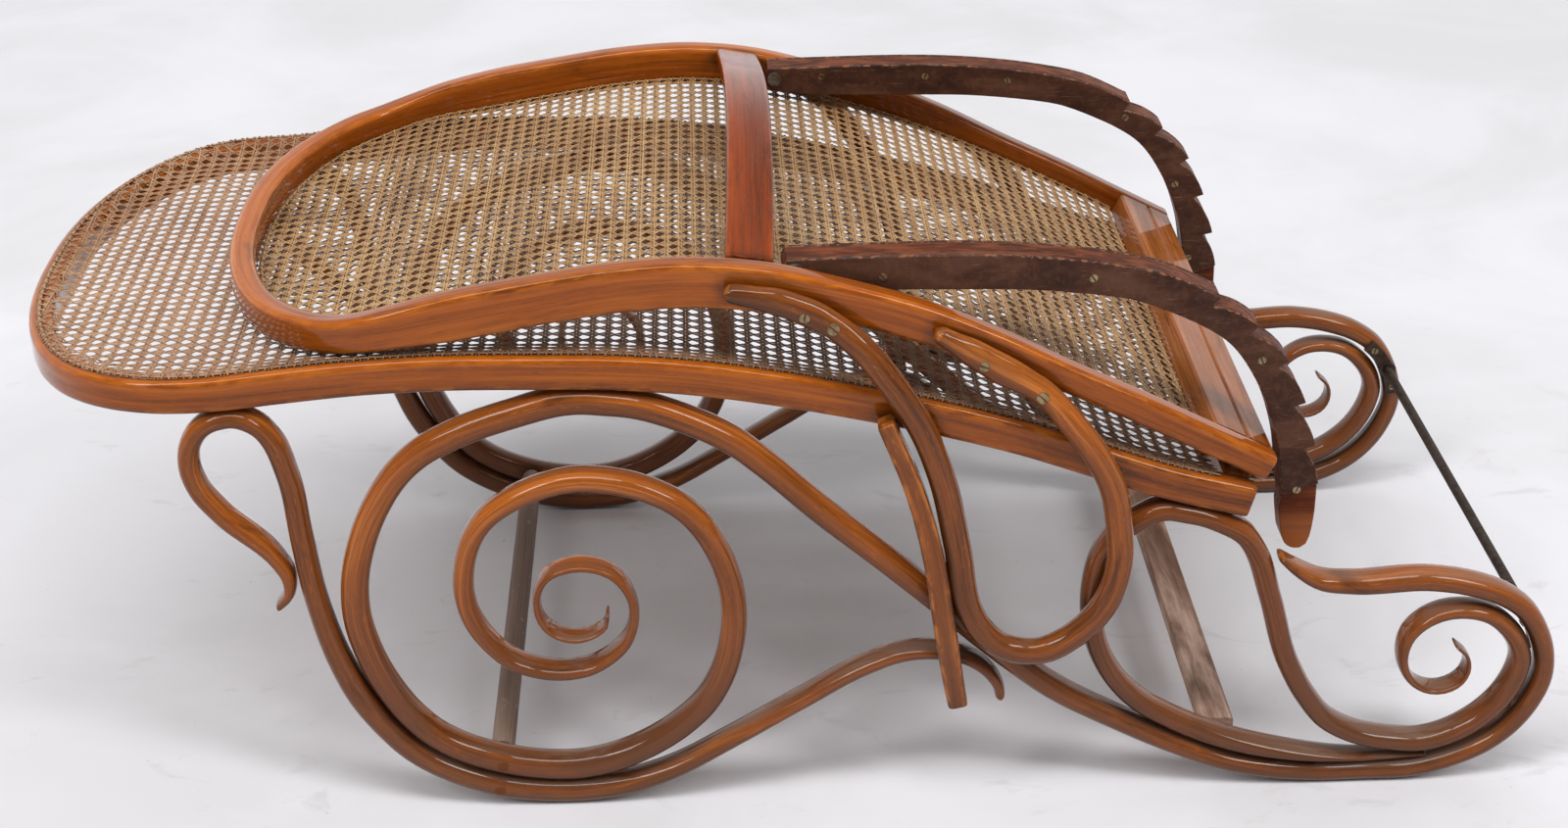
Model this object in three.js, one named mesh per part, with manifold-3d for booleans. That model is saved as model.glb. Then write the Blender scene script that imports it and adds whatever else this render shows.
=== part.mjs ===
// A bentwood reclining rocking chaise, folded flat: caned seat on scrolled rockers, caned back
// hinged at the rear, armrest loops on the back and two toothed stays that hook on a rear rod.
// Millimetres. X runs from the foot end to the rear, Y across the chair, Z up. Left is -Y.

import * as THREE from 'three';
import { mergeVertices } from 'three/addons/utils/BufferGeometryUtils.js';
import Module from 'manifold-3d';

const wasm = await Module();
wasm.setup();

// Driving sizes of the whole chair.
const scrollSpan = 720;          // from the centre of the front ring to the centre of the rear scroll
const seatCrestHeight = 396;     // underside of the seat rail at its highest
const memberWidth = 26;          // every bent rocker member, across the chair
const touchGap = 0.4;            // between pieces that touch
const bentGap = 0.95;            // between bent members that lie against each other
const crestGap = 1.3;            // from a middle line's curve to the seat rail's, for their facets
const frontTopGap = 0.4;
const archGap = 0.8;
const tailGap = 1.3;
const runningGap = 2;            // between pieces that pass each other
const faceSagitta = 1;           // how far a facet may lie inside its curve
const longestFacet = 70;
const wornDepth = 0.4;           // the feet are worn flat by this much
const mergeDistance = 0.0001;

// Front ring and rocker members.
const ringX = -108;
const ringHeight = 196;
const ringRadius = 181.5;
const ringThickness = 23;
const frontThickness = 17;
const frontFootThickness = 22;
const rearThickness = 18.5;
const runnerThickness = 19;
const rearScrollHeight = 105;
const rearScrollRadius = 88;
const smallScrollHeight = 122;

// Seat.
const seatLength = 1004;
const seatFootX = -567;
const seatHalfWidth = 262;
const rockerInset = 12;          // from the seat's side to the middle plane of a rocker
const rockerHalfSpacing = seatHalfWidth - rockerInset;
const seatRailWidth = 21;
const seatRailDepth = 28.5;
const seatEndDepth = 168;
const rearRailWidth = 25;
const caneThickness = 2.4;
const caneInset = 4.5;
const endRoundness = 2.3;        // exponent of the rounded foot and head ends
const railEdge = 4;

// Back, in the folded position.
const hingeOverhang = 11.2;      // from the top edge of the seat's rear end to the hinge pin
const hingeRise = 1.9;           // of the pin over the seat rail's top face
const hingeSetback = 1;          // from the back's rear end to the hinge pin
const backLength = 849;
const backInset = 4;             // the back is narrower than the seat by this on each side
const backHalfWidth = seatHalfWidth - backInset;
const backRailWidth = 21;
const backRailDepth = 37.5;
const backEndDepth = 176;
const backCrestRise = 187.5;     // from the hinge to the middle of the back rail at its highest
const endRailWidth = 30;
const endStripWidth = 24;
const endRailDepth = 22;
const crossbarReach = 417;       // from the hinge
const crossbarWidth = 38;
const crossbarThickness = 12;
const crossbarRise = 35;

// Stretchers and the rod that the stays hook on.
const dowelDiameter = 20;
const stretcherWidth = 29;
const stretcherThickness = 12;
const rodDiameter = 9;
const bracketThickness = 3;
const bracketWidth = 13;
const bossDiameter = 17;
const bossHeight = 1.6;

// Armrest loops and their bars.
const loopDiameter = 22;
const footThickness = 16;
const footWidth = 21;
const loopSetback = 437;         // from the hinge to the front foot's tip
const loopFootRise = 187.5;
const loopReach = 314;           // from the front foot's tip to the back of the loop
const loopDrop = 326;
const barThickness = 20;
const barWidth = 17;

// Toothed stays.
const stayPivotReach = 382;      // from the hinge
const stayPivotRise = 187.5;
const stayReach = 428;
const stayDrop = 264;
const stayWoodWidth = 21;
const stayPlateThickness = 4;
const stayPlateProud = 0.8;
const stayClearance = 6;         // from the back rail to the stay
const notchCount = 5;
const notchDepth = 9.6;
const notchPitch = 41.5;
const firstNotch = 326;          // along the toothed edge from the pivot end
const pivotDiameter = 6;
const pivotHeadDiameter = 13;
const pivotHeadHeight = 2.6;
const spacerDiameter = 15;

// Hinges.
const leafLength = 38;           // along the pin
const leafWidth = 30;
const leafThickness = 2;
const leafNotch = 9;             // cut back round the other leaf's knuckles
const knuckleCount = 3;
const barrelDiameter = 7.2;
const pinDiameter = 3.6;
const boreGap = 0.35;
const hingeInset = 3;            // from the stay side of the back rail to the hinge

const materials = {
  beech: { color: 0x9c4f22, roughness: 0.32, metalness: 0 },
  darkBeech: { color: 0x5a3628, roughness: 0.6, metalness: 0 },
  rawWood: { color: 0x6b5b50, roughness: 0.85, metalness: 0 },
  cane: { color: 0xb9966a, roughness: 0.8, metalness: 0 },
  iron: { color: 0x3a332f, roughness: 0.65, metalness: 0.7 },
  steel: { color: 0x8d8983, roughness: 0.45, metalness: 0.9 },
};

const chair = new THREE.Group();

function addPiece(name, geometry, materialName) {
  geometry.computeVertexNormals();
  const mesh = new THREE.Mesh(geometry, new THREE.MeshStandardMaterial(materials[materialName]));
  mesh.name = name;
  chair.add(mesh);
  return mesh;
}

// Sections: points round a closed outline of half sizes hu and hv.
function ovalSection(sides, power) {
  const step = (2 * Math.PI) / sides;
  const flatReach = Math.cos(step / 2) ** (2 / power);
  const sideReach = sides % 4 === 0 ? flatReach : 1;
  return (hu, hv) => Array.from({ length: sides }, (_, i) => {
    const angle = -Math.PI / 2 + (i + 0.5) * step;
    const c = Math.cos(angle);
    const s = Math.sin(angle);
    return [
      (hu * Math.sign(c) * Math.abs(c) ** (2 / power)) / sideReach,
      (hv * Math.sign(s) * Math.abs(s) ** (2 / power)) / flatReach,
    ];
  });
}

function railSection(edge) {
  return (hu, hv) => [
    [hu, edge - hv], [hu, hv - edge], [hu - edge, hv], [edge - hu, hv],
    [-hu, hv - edge], [-hu, edge - hv], [edge - hu, -hv], [hu - edge, -hv],
  ];
}

const boxSection = (hu, hv) => [[hu, -hv], [hu, hv], [-hu, hv], [-hu, -hv]];

// A closed body from rings of points, with flat caps.
function bodyFromRings(rings) {
  const sides = rings[0].length;
  const positions = rings.flat().flatMap((p) => [p.x, p.y, p.z]);
  const index = [];
  for (let i = 0; i + 1 < rings.length; i += 1) {
    for (let j = 0; j < sides; j += 1) {
      const a = i * sides + j;
      const b = i * sides + ((j + 1) % sides);
      index.push(a, b, a + sides, b, b + sides, a + sides);
    }
  }
  const last = (rings.length - 1) * sides;
  for (let j = 1; j + 1 < sides; j += 1) {
    index.push(0, j + 1, j);
    index.push(last, last + j, last + j + 1);
  }
  const geometry = new THREE.BufferGeometry();
  geometry.setAttribute('position', new THREE.Float32BufferAttribute(positions, 3));
  geometry.setIndex(signedVolume(positions, index) < 0 ? index.reverse() : index);
  return geometry;
}

function signedVolume(positions, index) {
  const at = (i) => new THREE.Vector3(...positions.slice(3 * i, 3 * i + 3));
  let sum = 0;
  for (let i = 0; i < index.length; i += 3) {
    sum += at(index[i]).dot(at(index[i + 1]).cross(at(index[i + 2])));
  }
  return sum;
}

// Sweep: each station has a place, two axes and two half sizes.
function sweep(stations, section) {
  return bodyFromRings(stations.map(({ place, u, v, hu, hv }) => section(hu, hv).map(
    ([a, b]) => place.clone().addScaledVector(u, a).addScaledVector(v, b),
  )));
}

// Keeps the first, the last, the asked ones and just enough points for the facet limits.
function thinned(points, asked = []) {
  const kept = [0];
  for (let i = 2; i < points.length; i += 1) {
    const from = points[kept[kept.length - 1]];
    const chord = new THREE.Line3(from, points[i]);
    const nearest = new THREE.Vector3();
    let bow = 0;
    for (let k = kept[kept.length - 1] + 1; k < i; k += 1) {
      chord.closestPointToPoint(points[k], true, nearest);
      bow = Math.max(bow, nearest.distanceTo(points[k]));
    }
    const full = bow > faceSagitta || chord.distance() > longestFacet;
    if (full || asked.includes(i - 1)) kept.push(i - 1);
  }
  kept.push(points.length - 1);
  return kept;
}

function tangentAt(points, i) {
  const before = points[Math.max(0, i - 1)];
  const after = points[Math.min(points.length - 1, i + 1)];
  return after.clone().sub(before).normalize();
}

// A bent member in a plane of constant y; a knot is x, z, the thickness there and whether
// a station is asked for.
const densePerSpan = 16;
const memberSection = ovalSection(10, 2.5);

function denseCurve(knots, y) {
  const curve = new THREE.CatmullRomCurve3(
    knots.map(([x, z]) => new THREE.Vector3(x, y, z)), false, 'centripetal',
  );
  const count = (knots.length - 1) * densePerSpan;
  const points = [];
  const thickness = [];
  for (let i = 0; i <= count; i += 1) {
    points.push(curve.getPoint(i / count));
    const knot = Math.min(Math.floor(i / densePerSpan), knots.length - 2);
    const share = i / densePerSpan - knot;
    thickness.push(THREE.MathUtils.lerp(knots[knot][2], knots[knot + 1][2], share));
  }
  return { points, thickness };
}

// Towards a thin tip the member also gets a little narrower.
const tipWidthShare = 0.6;
const fullWidthShare = 0.4;      // of the width: the thickness from which the width is full

function bentMember(knots, y, width = memberWidth) {
  const { points, thickness } = denseCurve(knots, y);
  const across = new THREE.Vector3(0, 1, 0);
  const asked = knots.flatMap((knot, k) => (knot[3] ? [k * densePerSpan] : []));
  const stations = thinned(points, asked).map((i) => ({
    place: points[i],
    u: across,
    v: tangentAt(points, i).cross(across).normalize(),
    hu: (width / 2) * THREE.MathUtils.lerp(
      tipWidthShare, 1, Math.min(1, thickness[i] / (width * fullWidthShare)),
    ),
    hv: thickness[i] / 2,
  }));
  const geometry = sweep(stations, memberSection);
  return restOnFloor(geometry);
}

// The feet are worn flat where the chair stands.
function restOnFloor(geometry) {
  const position = geometry.getAttribute('position');
  for (let i = 0; i < position.count; i += 1) {
    position.setZ(i, Math.max(0, position.getZ(i)));
  }
  return geometry;
}

function polar(centre, radius, degrees) {
  const angle = THREE.MathUtils.degToRad(degrees);
  return [centre[0] + radius * Math.cos(angle), centre[1] + radius * Math.sin(angle)];
}

// Spiral knots at eighth turns: turning is -1 for clockwise and 1 for the other way.
const eighth = 45;
const straightDown = -90;

function spiralKnots(centre, radius, radiusShares, start, thickness, thicknessShares, turning = -1) {
  return radiusShares.map((share, i) => [
    ...polar(centre, radius * share, start + turning * i * eighth),
    thickness * thicknessShares[i],
  ]);
}

// Places along the chair: shares of the scroll span from the ring, and of the crest height.
const along = (share) => ringX + share * scrollSpan;
const up = (share) => share * seatCrestHeight;

function shareKnots(shares, thickness) {
  return shares.map(([x, z, t]) => [along(x), up(z), thickness * t]);
}

// Underside of the seat rail, from the foot end to the rear.
const seatProfileShares = [
  [0, 0.932], [0.037, 0.94], [0.097, 0.957], [0.146, 0.962], [0.19, 0.966], [0.234, 0.979],
  [0.27, 0.988], [0.323, 0.998], [0.359, 1], [0.458, 0.996], [0.504, 0.99], [0.549, 0.979],
  [0.595, 0.962], [0.653, 0.931], [0.705, 0.902], [0.752, 0.871], [0.822, 0.818], [0.853, 0.789],
  [0.901, 0.742], [0.938, 0.71], [1, 0.668],
];

function profileFrom(knots) {
  const curve = new THREE.SplineCurve(knots.map(([x, z]) => new THREE.Vector2(x, z)));
  const points = curve.getPoints((knots.length - 1) * densePerSpan);
  return (x) => {
    let i = points.findIndex((p) => p.x >= x);
    i = THREE.MathUtils.clamp(i < 0 ? points.length - 1 : i, 1, points.length - 1);
    const share = (x - points[i - 1].x) / (points[i].x - points[i - 1].x);
    return THREE.MathUtils.lerp(points[i - 1].y, points[i].y, share);
  };
}

const seatKnots = seatProfileShares.map(([x, z]) => [seatFootX + x * seatLength, up(z)]);
const seatUnderside = profileFrom(seatKnots);

// Knots where a member lies against the seat rail from below; true asks for a station there.
function seatContacts(shares, thickness, gap) {
  return shares.map(along).map((x) => {
    const slope = (seatUnderside(x + touchGap) - seatUnderside(x - touchGap)) / (2 * touchGap);
    const drop = gap + (thickness / 2) * Math.hypot(1, slope);
    return [x, seatUnderside(x) - drop, thickness, true];
  });
}

// Main member: spiral, ring, over the crest, down to the runner and round the rear scroll.
const ringTipDegrees = -22.5;
const ringTipShares = [0.138, 0.13];
const ringRadiusShares = [
  0.165, 0.182, 0.193, 0.19, 0.201, 0.198, 0.217, 0.242, 0.292, 0.355, 0.43, 0.504,
  0.59, 0.631, 0.675, 0.694, 0.788, 0.886, 0.981, 1, 1.025,
];
const ringThicknessShares = [
  0.2, 0.26, 0.28, 0.3, 0.32, 0.33, 0.34, 0.35, 0.45, 0.54, 0.63, 0.72,
  0.77, 0.82, 0.87, 0.91, 0.98, 1.04, 1, 1, 1,
];
const crestShares = [0, 0.033];
const diagonalShares = [
  [0.064, 0.955, 0.98], [0.127, 0.915, 0.96], [0.19, 0.848, 0.96], [0.233, 0.77, 0.95],
  [0.292, 0.671, 0.94], [0.356, 0.567, 0.94], [0.428, 0.445, 0.93], [0.526, 0.281, 0.9],
  [0.576, 0.219, 0.88], [0.649, 0.146, 0.86],
];
const runnerShares = [[0.742, 0.065], [0.8, 0.0365]];
const runnerLowShares = [0.858, 0.917];
const rearRadiusShares = [1.045, 0.966, 1, 1.006, 1.028];
const rearThicknessShares = [0.96, 0.93, 0.9, 0.97, 1.05];
const forwardShares = [
  [0.942, 0.497, 1.05], [0.896, 0.494, 1], [0.851, 0.501, 0.88], [0.821, 0.53, 0.62],
  [0.797, 0.564, 0.3],
];

const ringCentre = [ringX, ringHeight];
const rearCentre = [along(1), rearScrollHeight];

function mainMemberKnots() {
  const [tipRadiusShare, tipThicknessShare] = ringTipShares;
  const tip = [
    ...polar(ringCentre, ringRadius * tipRadiusShare, ringTipDegrees),
    ringThickness * tipThicknessShare,
  ];
  const ring = spiralKnots(
    ringCentre, ringRadius, ringRadiusShares, -eighth, ringThickness, ringThicknessShares,
  );
  const scroll = spiralKnots(
    rearCentre, rearScrollRadius, rearRadiusShares, straightDown, runnerThickness,
    rearThicknessShares, 1,
  );
  return [tip, ...ring, ...seatContacts(crestShares, ringThickness, crestGap),
    ...shareKnots(diagonalShares, ringThickness), ...runnerKnots(), ...scroll,
    ...shareKnots(forwardShares, runnerThickness)];
}

function runnerKnots() {
  return [
    ...runnerShares.map(([x, z]) => [along(x), up(z), runnerThickness]),
    ...runnerLowShares.map((x) => [
      along(x), runnerThickness / 2 - wornDepth, runnerThickness, true,
    ]),
  ];
}

// Front member: hook, loop under the foot of the seat, down and round the ring, up to a hook.
const frontHookShares = [
  [-0.338, 0.505, 0.35], [-0.325, 0.533, 0.55], [-0.322, 0.558, 0.68], [-0.324, 0.586, 0.72],
  [-0.332, 0.616, 0.78], [-0.349, 0.649, 0.85], [-0.368, 0.684, 0.9], [-0.386, 0.722, 0.95],
  [-0.403, 0.763, 1], [-0.4125, 0.8, 1], [-0.4167, 0.856, 1], [-0.408, 0.904, 1],
  [-0.393, 0.932, 1],
];
const frontTopShares = [-0.377, -0.36];
const frontStrandShares = [
  [-0.333, 0.919, 1], [-0.321, 0.876, 1.02], [-0.3125, 0.821, 1.04],
  [-0.308, 0.77, 1.06], [-0.3055, 0.704, 1.08], [-0.302, 0.629, 1.08], [-0.298, 0.553, 1.08],
  [-0.2917, 0.492, 1.1], [-0.281, 0.41, 1.12],
];
const wrapDegrees = [202.5, 225, 247.5];
const frontTailShares = [
  [0.058, 0.0435, 1.15], [0.093, 0.0675, 1.05], [0.1236, 0.097, 0.98], [0.185, 0.164, 0.92],
  [0.232, 0.217, 0.9], [0.279, 0.2725, 0.88], [0.319, 0.316, 0.85], [0.346, 0.338, 0.82],
  [0.372, 0.3535, 0.8], [0.406, 0.356, 0.75], [0.439, 0.342, 0.7], [0.46, 0.318, 0.66],
  [0.4736, 0.29, 0.62], [0.4825, 0.2575, 0.58], [0.484, 0.235, 0.5],
];

// Half thickness and radius of the ring's middle line at an angle on its last turn.
const threeTurns = 1080;

function ringAt(degrees) {
  const turn = (threeTurns - degrees) / eighth - 1;
  const index = Math.floor(turn);
  const between = (shares) => THREE.MathUtils.lerp(shares[index], shares[index + 1], turn - index);
  return {
    radius: ringRadius * between(ringRadiusShares),
    half: (ringThickness * between(ringThicknessShares)) / 2,
  };
}

// Radius of the front member's middle line where it lies on the ring.
function wrapRadius(degrees) {
  const ring = ringAt(degrees);
  return ring.radius + ring.half + bentGap + frontFootThickness / 2;
}

function frontMemberKnots() {
  const wrap = wrapDegrees.map((degrees) => [
    ...polar(ringCentre, wrapRadius(degrees), degrees), frontFootThickness, true,
  ]);
  const foot = [ringX, frontFootThickness / 2 - wornDepth, frontFootThickness, true];
  return [...shareKnots(frontHookShares, frontThickness),
    ...seatContacts(frontTopShares, frontThickness, frontTopGap),
    ...shareKnots(frontStrandShares, frontThickness), ...wrap, foot,
    ...shareKnots(frontTailShares, frontThickness)];
}

// Rear member: small spiral inside the rear scroll, arch under the seat, down along the runner.
const smallRadiusShares = [
  0.165, 0.233, 0.33, 0.375, 0.375, 0.386, 0.443, 0.506, 0.614, 0.755, 0.81, 0.955,
];
const smallThicknessShares = [0.16, 0.24, 0.32, 0.38, 0.42, 0.5, 0.6, 0.7, 0.85, 0.97, 1, 1];
const rearStrandShares = [
  [0.914, 0.113, 1], [0.872, 0.153, 1], [0.846, 0.211, 1], [0.819, 0.303, 1], [0.799, 0.414, 1],
  [0.786, 0.495, 1], [0.773, 0.561, 1], [0.757, 0.614, 1],
];
const archContactShares = [0.71, 0.686];
const rearArchShares = [
  [0.658, 0.683, 1], [0.636, 0.665, 1], [0.609, 0.627, 1], [0.593, 0.575, 1],
  [0.5855, 0.505, 1], [0.585, 0.444, 1], [0.594, 0.361, 1], [0.607, 0.305, 1], [0.631, 0.243, 1],
  [0.658, 0.2, 1], [0.69, 0.165, 1],
];
const tailThicknessShares = [1, 0.92, 0.6, 0.3, 0.12];

function rearMemberKnots() {
  const centre = [along(1), smallScrollHeight];
  const spiral = spiralKnots(
    centre, rearScrollRadius, smallRadiusShares, eighth, rearThickness, smallThicknessShares,
  );
  return [...spiral, ...shareKnots(rearStrandShares, rearThickness),
    ...seatContacts(archContactShares, rearThickness, archGap),
    ...shareKnots(rearArchShares, rearThickness), ...tailKnots()];
}

// The tail of the rear member lies on the runner, square off its middle line.
function tailKnots() {
  const runner = mainMemberKnots();
  const first = runner.findIndex(([x]) => x === runnerKnots()[0][0]);
  return tailThicknessShares.map((share, i) => {
    const [x, z, thickness] = runner[first + i];
    const [xNext, zNext] = runner[first + i + 1];
    const [xLast, zLast] = runner[first + i - 1];
    const length = Math.hypot(xNext - xLast, zNext - zLast);
    const lift = thickness / 2 + tailGap + (rearThickness * share) / 2;
    return [
      x - (lift * (zNext - zLast)) / length,
      z + (lift * (xNext - xLast)) / length,
      rearThickness * share,
    ];
  });
}

// Frame of the seat or the back: two side rails joined by a rounded end.
function framePlan(rearX, straightX, endDepth, halfWidth) {
  const plan = [];
  const straightSteps = 90;
  const endSteps = 120;
  for (let i = 0; i < straightSteps; i += 1) {
    plan.push([THREE.MathUtils.lerp(rearX, straightX, i / straightSteps), -halfWidth]);
  }
  for (let i = 0; i <= endSteps; i += 1) {
    const angle = (Math.PI * i) / endSteps;
    const c = Math.cos(angle);
    const s = Math.sin(angle);
    plan.push([
      straightX - endDepth * s ** (2 / endRoundness),
      -halfWidth * Math.sign(c) * Math.abs(c) ** (2 / endRoundness),
    ]);
  }
  for (let i = straightSteps - 1; i >= 0; i -= 1) plan.push([plan[i][0], halfWidth]);
  return plan;
}

// Stations along one side and the rounded end, and the same ones on the other side.
function mirroredStations(points) {
  const half = thinned(points.slice(0, (points.length + 1) / 2));
  return [...half, ...half.slice(0, -1).reverse().map((i) => points.length - 1 - i)];
}

function frameRail(plan, heightAt, depthAt, width) {
  const points = plan.map(([x, y]) => new THREE.Vector3(x, y, heightAt(x)));
  const stations = mirroredStations(points).map((i) => {
    const t = tangentAt(points, i);
    const u = new THREE.Vector3(-t.y, t.x, 0).normalize();
    return { place: points[i], u, v: t.clone().cross(u), hu: width / 2, hv: depthAt(points[i].x) / 2 };
  });
  return sweep(stations, railSection(railEdge));
}

// A cane panel between the rails: a thin sheet whose edge follows the frame.
function canePanel(plan, rearX, railMiddle, topAt, margin) {
  const points = plan.map(([x, y]) => new THREE.Vector3(x, y, railMiddle(x)));
  const kept = thinned(points.slice(0, (points.length + 1) / 2));
  const edge = kept.filter((i) => points[i].x < rearX).map((i) => {
    const t = tangentAt(points, i);
    const inward = new THREE.Vector2(t.y, -t.x).normalize();
    return [points[i].x + inward.x * margin, points[i].y + inward.y * margin];
  });
  const noseHalf = margin / 2;
  edge[edge.length - 1][1] = -noseHalf;
  const rings = [[rearX, edge[0][1]], ...edge].map(([x, y]) => {
    const z = topAt(x);
    const low = z - caneThickness;
    return [
      new THREE.Vector3(x, y, low), new THREE.Vector3(x, -y, low),
      new THREE.Vector3(x, -y, z), new THREE.Vector3(x, y, z),
    ];
  });
  return bodyFromRings(rings);
}

// A straight piece across the chair with a slanted rectangular section.
function crossPiece(x, z, slope, width, depth, halfLength, section = railSection(railEdge / 2)) {
  const u = new THREE.Vector3(1, 0, slope).normalize();
  const v = new THREE.Vector3(-u.z, 0, u.x);
  const stations = [-halfLength, halfLength].map((y) => ({
    place: new THREE.Vector3(x, y, z), u, v, hu: width / 2, hv: depth / 2,
  }));
  return sweep(stations, section);
}

const slopeOf = (profile, x) => (profile(x) - profile(x - touchGap)) / touchGap;

const seatRearX = seatFootX + seatLength;
const seatMiddle = (x) => seatUnderside(x) + seatRailDepth / 2;

// The hinge pin lies past the rear end of the seat, just over the plane of its top face.
function hingeFromSeat() {
  const u = new THREE.Vector2(1, slopeOf(seatMiddle, seatRearX)).normalize();
  const n = new THREE.Vector2(-u.y, u.x);
  return new THREE.Vector2(seatRearX, seatMiddle(seatRearX))
    .addScaledVector(n, seatRailDepth / 2 + hingeRise)
    .addScaledVector(u, hingeOverhang);
}

function makeSeat() {
  const halfWidth = seatHalfWidth - seatRailWidth / 2;
  const straightX = seatFootX + seatEndDepth;
  const plan = framePlan(seatRearX, straightX, seatEndDepth - seatRailWidth / 2, halfWidth);
  addPiece('seat_frame', frameRail(plan, seatMiddle, () => seatRailDepth, seatRailWidth), 'beech');

  const railX = seatRearX - rearRailWidth / 2;
  const innerHalf = seatHalfWidth - seatRailWidth - touchGap;
  addPiece('seat_rear_rail', crossPiece(
    railX, seatMiddle(railX), slopeOf(seatMiddle, railX), rearRailWidth, seatRailDepth, innerHalf,
  ), 'beech');

  const caneTop = (x) => seatUnderside(x) + seatRailDepth - caneInset;
  const rearSlope = slopeOf(seatMiddle, seatRearX);
  const caneRearX = seatRearX - rearRailWidth * Math.hypot(1, rearSlope) - touchGap;
  addPiece('seat_cane', canePanel(
    plan, caneRearX, seatMiddle, caneTop, seatRailWidth / 2 + touchGap,
  ), 'cane');
}

// Middle line of the back rail from the head to the hinge: length, rise and depth shares.
const backProfileShares = [
  [0, 0.7088, 0.747], [0.05, 0.7203, 0.747], [0.081, 0.7369, 0.747], [0.119, 0.7573, 0.747],
  [0.145, 0.7829, 0.76], [0.177, 0.8161, 0.82], [0.207, 0.8493, 0.96], [0.245, 0.8774, 1],
  [0.283, 0.908, 1], [0.319, 0.9387, 1], [0.366, 0.9745, 1], [0.406, 0.9872, 1], [0.455, 1, 1],
  [0.492, 0.9923, 1], [0.517, 0.977, 0.99], [0.554, 0.9464, 0.93], [0.594, 0.9042, 0.86],
  [0.642, 0.8416, 0.84], [0.697, 0.7496, 0.82], [0.753, 0.6398, 0.72], [0.796, 0.5478, 0.63],
  [0.839, 0.4482, 0.6], [0.905, 0.3077, 0.63], [0.942, 0.2132, 0.6], [1, 0.07904, 0.6],
];

const hingePlace = hingeFromSeat();
const hingeX = hingePlace.x;
const hingeHeight = hingePlace.y;
const crossbarX = hingeX - crossbarReach;
const loopX = hingeX - loopSetback;
const loopFloor = hingeHeight + loopFootRise - loopDrop;
const stayPivotX = hingeX - stayPivotReach;
const stayPivotHeight = hingeHeight + stayPivotRise;
const backRearX = hingeX - hingeSetback;
const backHeadX = backRearX - backLength;
const backKnots = backProfileShares.map(([x, z]) => [
  THREE.MathUtils.lerp(backHeadX, backRearX, x), hingeHeight + z * backCrestRise,
]);
const backDepthKnots = backProfileShares.map(([x, , d], i) => [
  backKnots[i][0], d * backRailDepth,
]);
const backMiddle = profileFrom(backKnots);
const backDepth = profileFrom(backDepthKnots);
const backInnerHalf = backHalfWidth - backRailWidth;
const backCaneShare = 0.22;

// Middle of the strip that closes the rear end of the back.
function endStripPlace() {
  const slope = slopeOf(backMiddle, backRearX - endStripWidth / 2);
  const x = backRearX - endStripWidth / 2 / Math.hypot(1, slope);
  return { x, z: backMiddle(x), slope };
}

function makeBack() {
  const halfWidth = backHalfWidth - backRailWidth / 2;
  const straightX = backHeadX + backEndDepth;
  const headDepth = backEndDepth - backRailWidth / 2;
  const plan = framePlan(backRearX, straightX, headDepth, halfWidth);
  addPiece('back_frame', frameRail(plan, backMiddle, backDepth, backRailWidth), 'beech');

  const strip = endStripPlace();
  const run = Math.hypot(1, strip.slope);
  const railX = strip.x - (endStripWidth / 2 + touchGap + endRailWidth / 2) / run;
  const railZ = strip.z + (railX - strip.x) * strip.slope;
  const innerHalf = backInnerHalf - touchGap;
  for (const [name, x, z, width] of [
    ['back_end_strip', strip.x, strip.z, endStripWidth],
    ['back_bottom_rail', railX, railZ, endRailWidth],
  ]) {
    addPiece(name, crossPiece(x, z, strip.slope, width, endRailDepth, innerHalf), 'beech');
  }

  const caneTop = (x) => backMiddle(x) + backDepth(x) * (backCaneShare - 0.5);
  const tilt = (endRailDepth / 2) * Math.abs(strip.slope);
  const caneRearX = railX - (endRailWidth / 2 + touchGap + tilt) / run;
  addPiece('back_cane', canePanel(
    plan, caneRearX, backMiddle, caneTop, backRailWidth / 2 + touchGap,
  ), 'cane');
  addPiece('back_crossbar', crossbar(innerHalf), 'beech');
}

// An arched board between the side rails, its ends flush with their top edge.
function crossbar(innerHalf) {
  const slope = slopeOf(backMiddle, crossbarX);
  const u = new THREE.Vector3(1, 0, slope).normalize();
  const away = new THREE.Vector3(-u.z, 0, u.x);
  const base = new THREE.Vector3(
    crossbarX, 0, backMiddle(crossbarX) + (backDepth(crossbarX) - crossbarThickness) / 2,
  );
  const steps = 14;
  const points = Array.from({ length: steps + 1 }, (_, i) => {
    const share = (2 * i) / steps - 1;
    const rise = crossbarRise * Math.cos((share * Math.PI) / 2);
    return base.clone().setY(share * innerHalf).addScaledVector(away, rise);
  });
  const stations = points.map((place, i) => {
    const last = i === 0 || i === steps;
    const t = last ? new THREE.Vector3(0, 1, 0) : tangentAt(points, i);
    return { place, u, v: u.clone().cross(t), hu: crossbarWidth / 2, hv: crossbarThickness / 2 };
  });
  return sweep(stations, railSection(crossbarThickness / 4));
}

// Armrest loop, left side: front foot, down, round and up to the rear foot.
const loopShares = [
  [0, 1, 0], [0.108, 0.978, 0], [0.188, 0.948, 0], [0.277, 0.902, 0.15], [0.32, 0.868, 0.5],
  [0.404, 0.77, 1], [0.484, 0.644, 1], [0.538, 0.506, 1], [0.58, 0.325, 1], [0.611, 0.156, 1],
  [0.631, 0.098, 1], [0.666, 0.052, 1], [0.701, 0.0215, 1], [0.752, 0.003, 1], [0.806, 0, 1],
  [0.869, 0.0276, 1], [0.924, 0.0706, 1], [0.971, 0.138, 1], [0.997, 0.2117, 1], [1, 0.288, 1],
  [0.994, 0.362, 1], [0.978, 0.448, 1], [0.946, 0.5245, 1], [0.901, 0.592, 0.95],
  [0.847, 0.6595, 0.6], [0.809, 0.7025, 0.3], [0.723, 0.7575, 0], [0.662, 0.7945, 0],
  [0.608, 0.828, 0], [0.516, 0.883, 0],
];
const footTipShare = 0.45;

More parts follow.
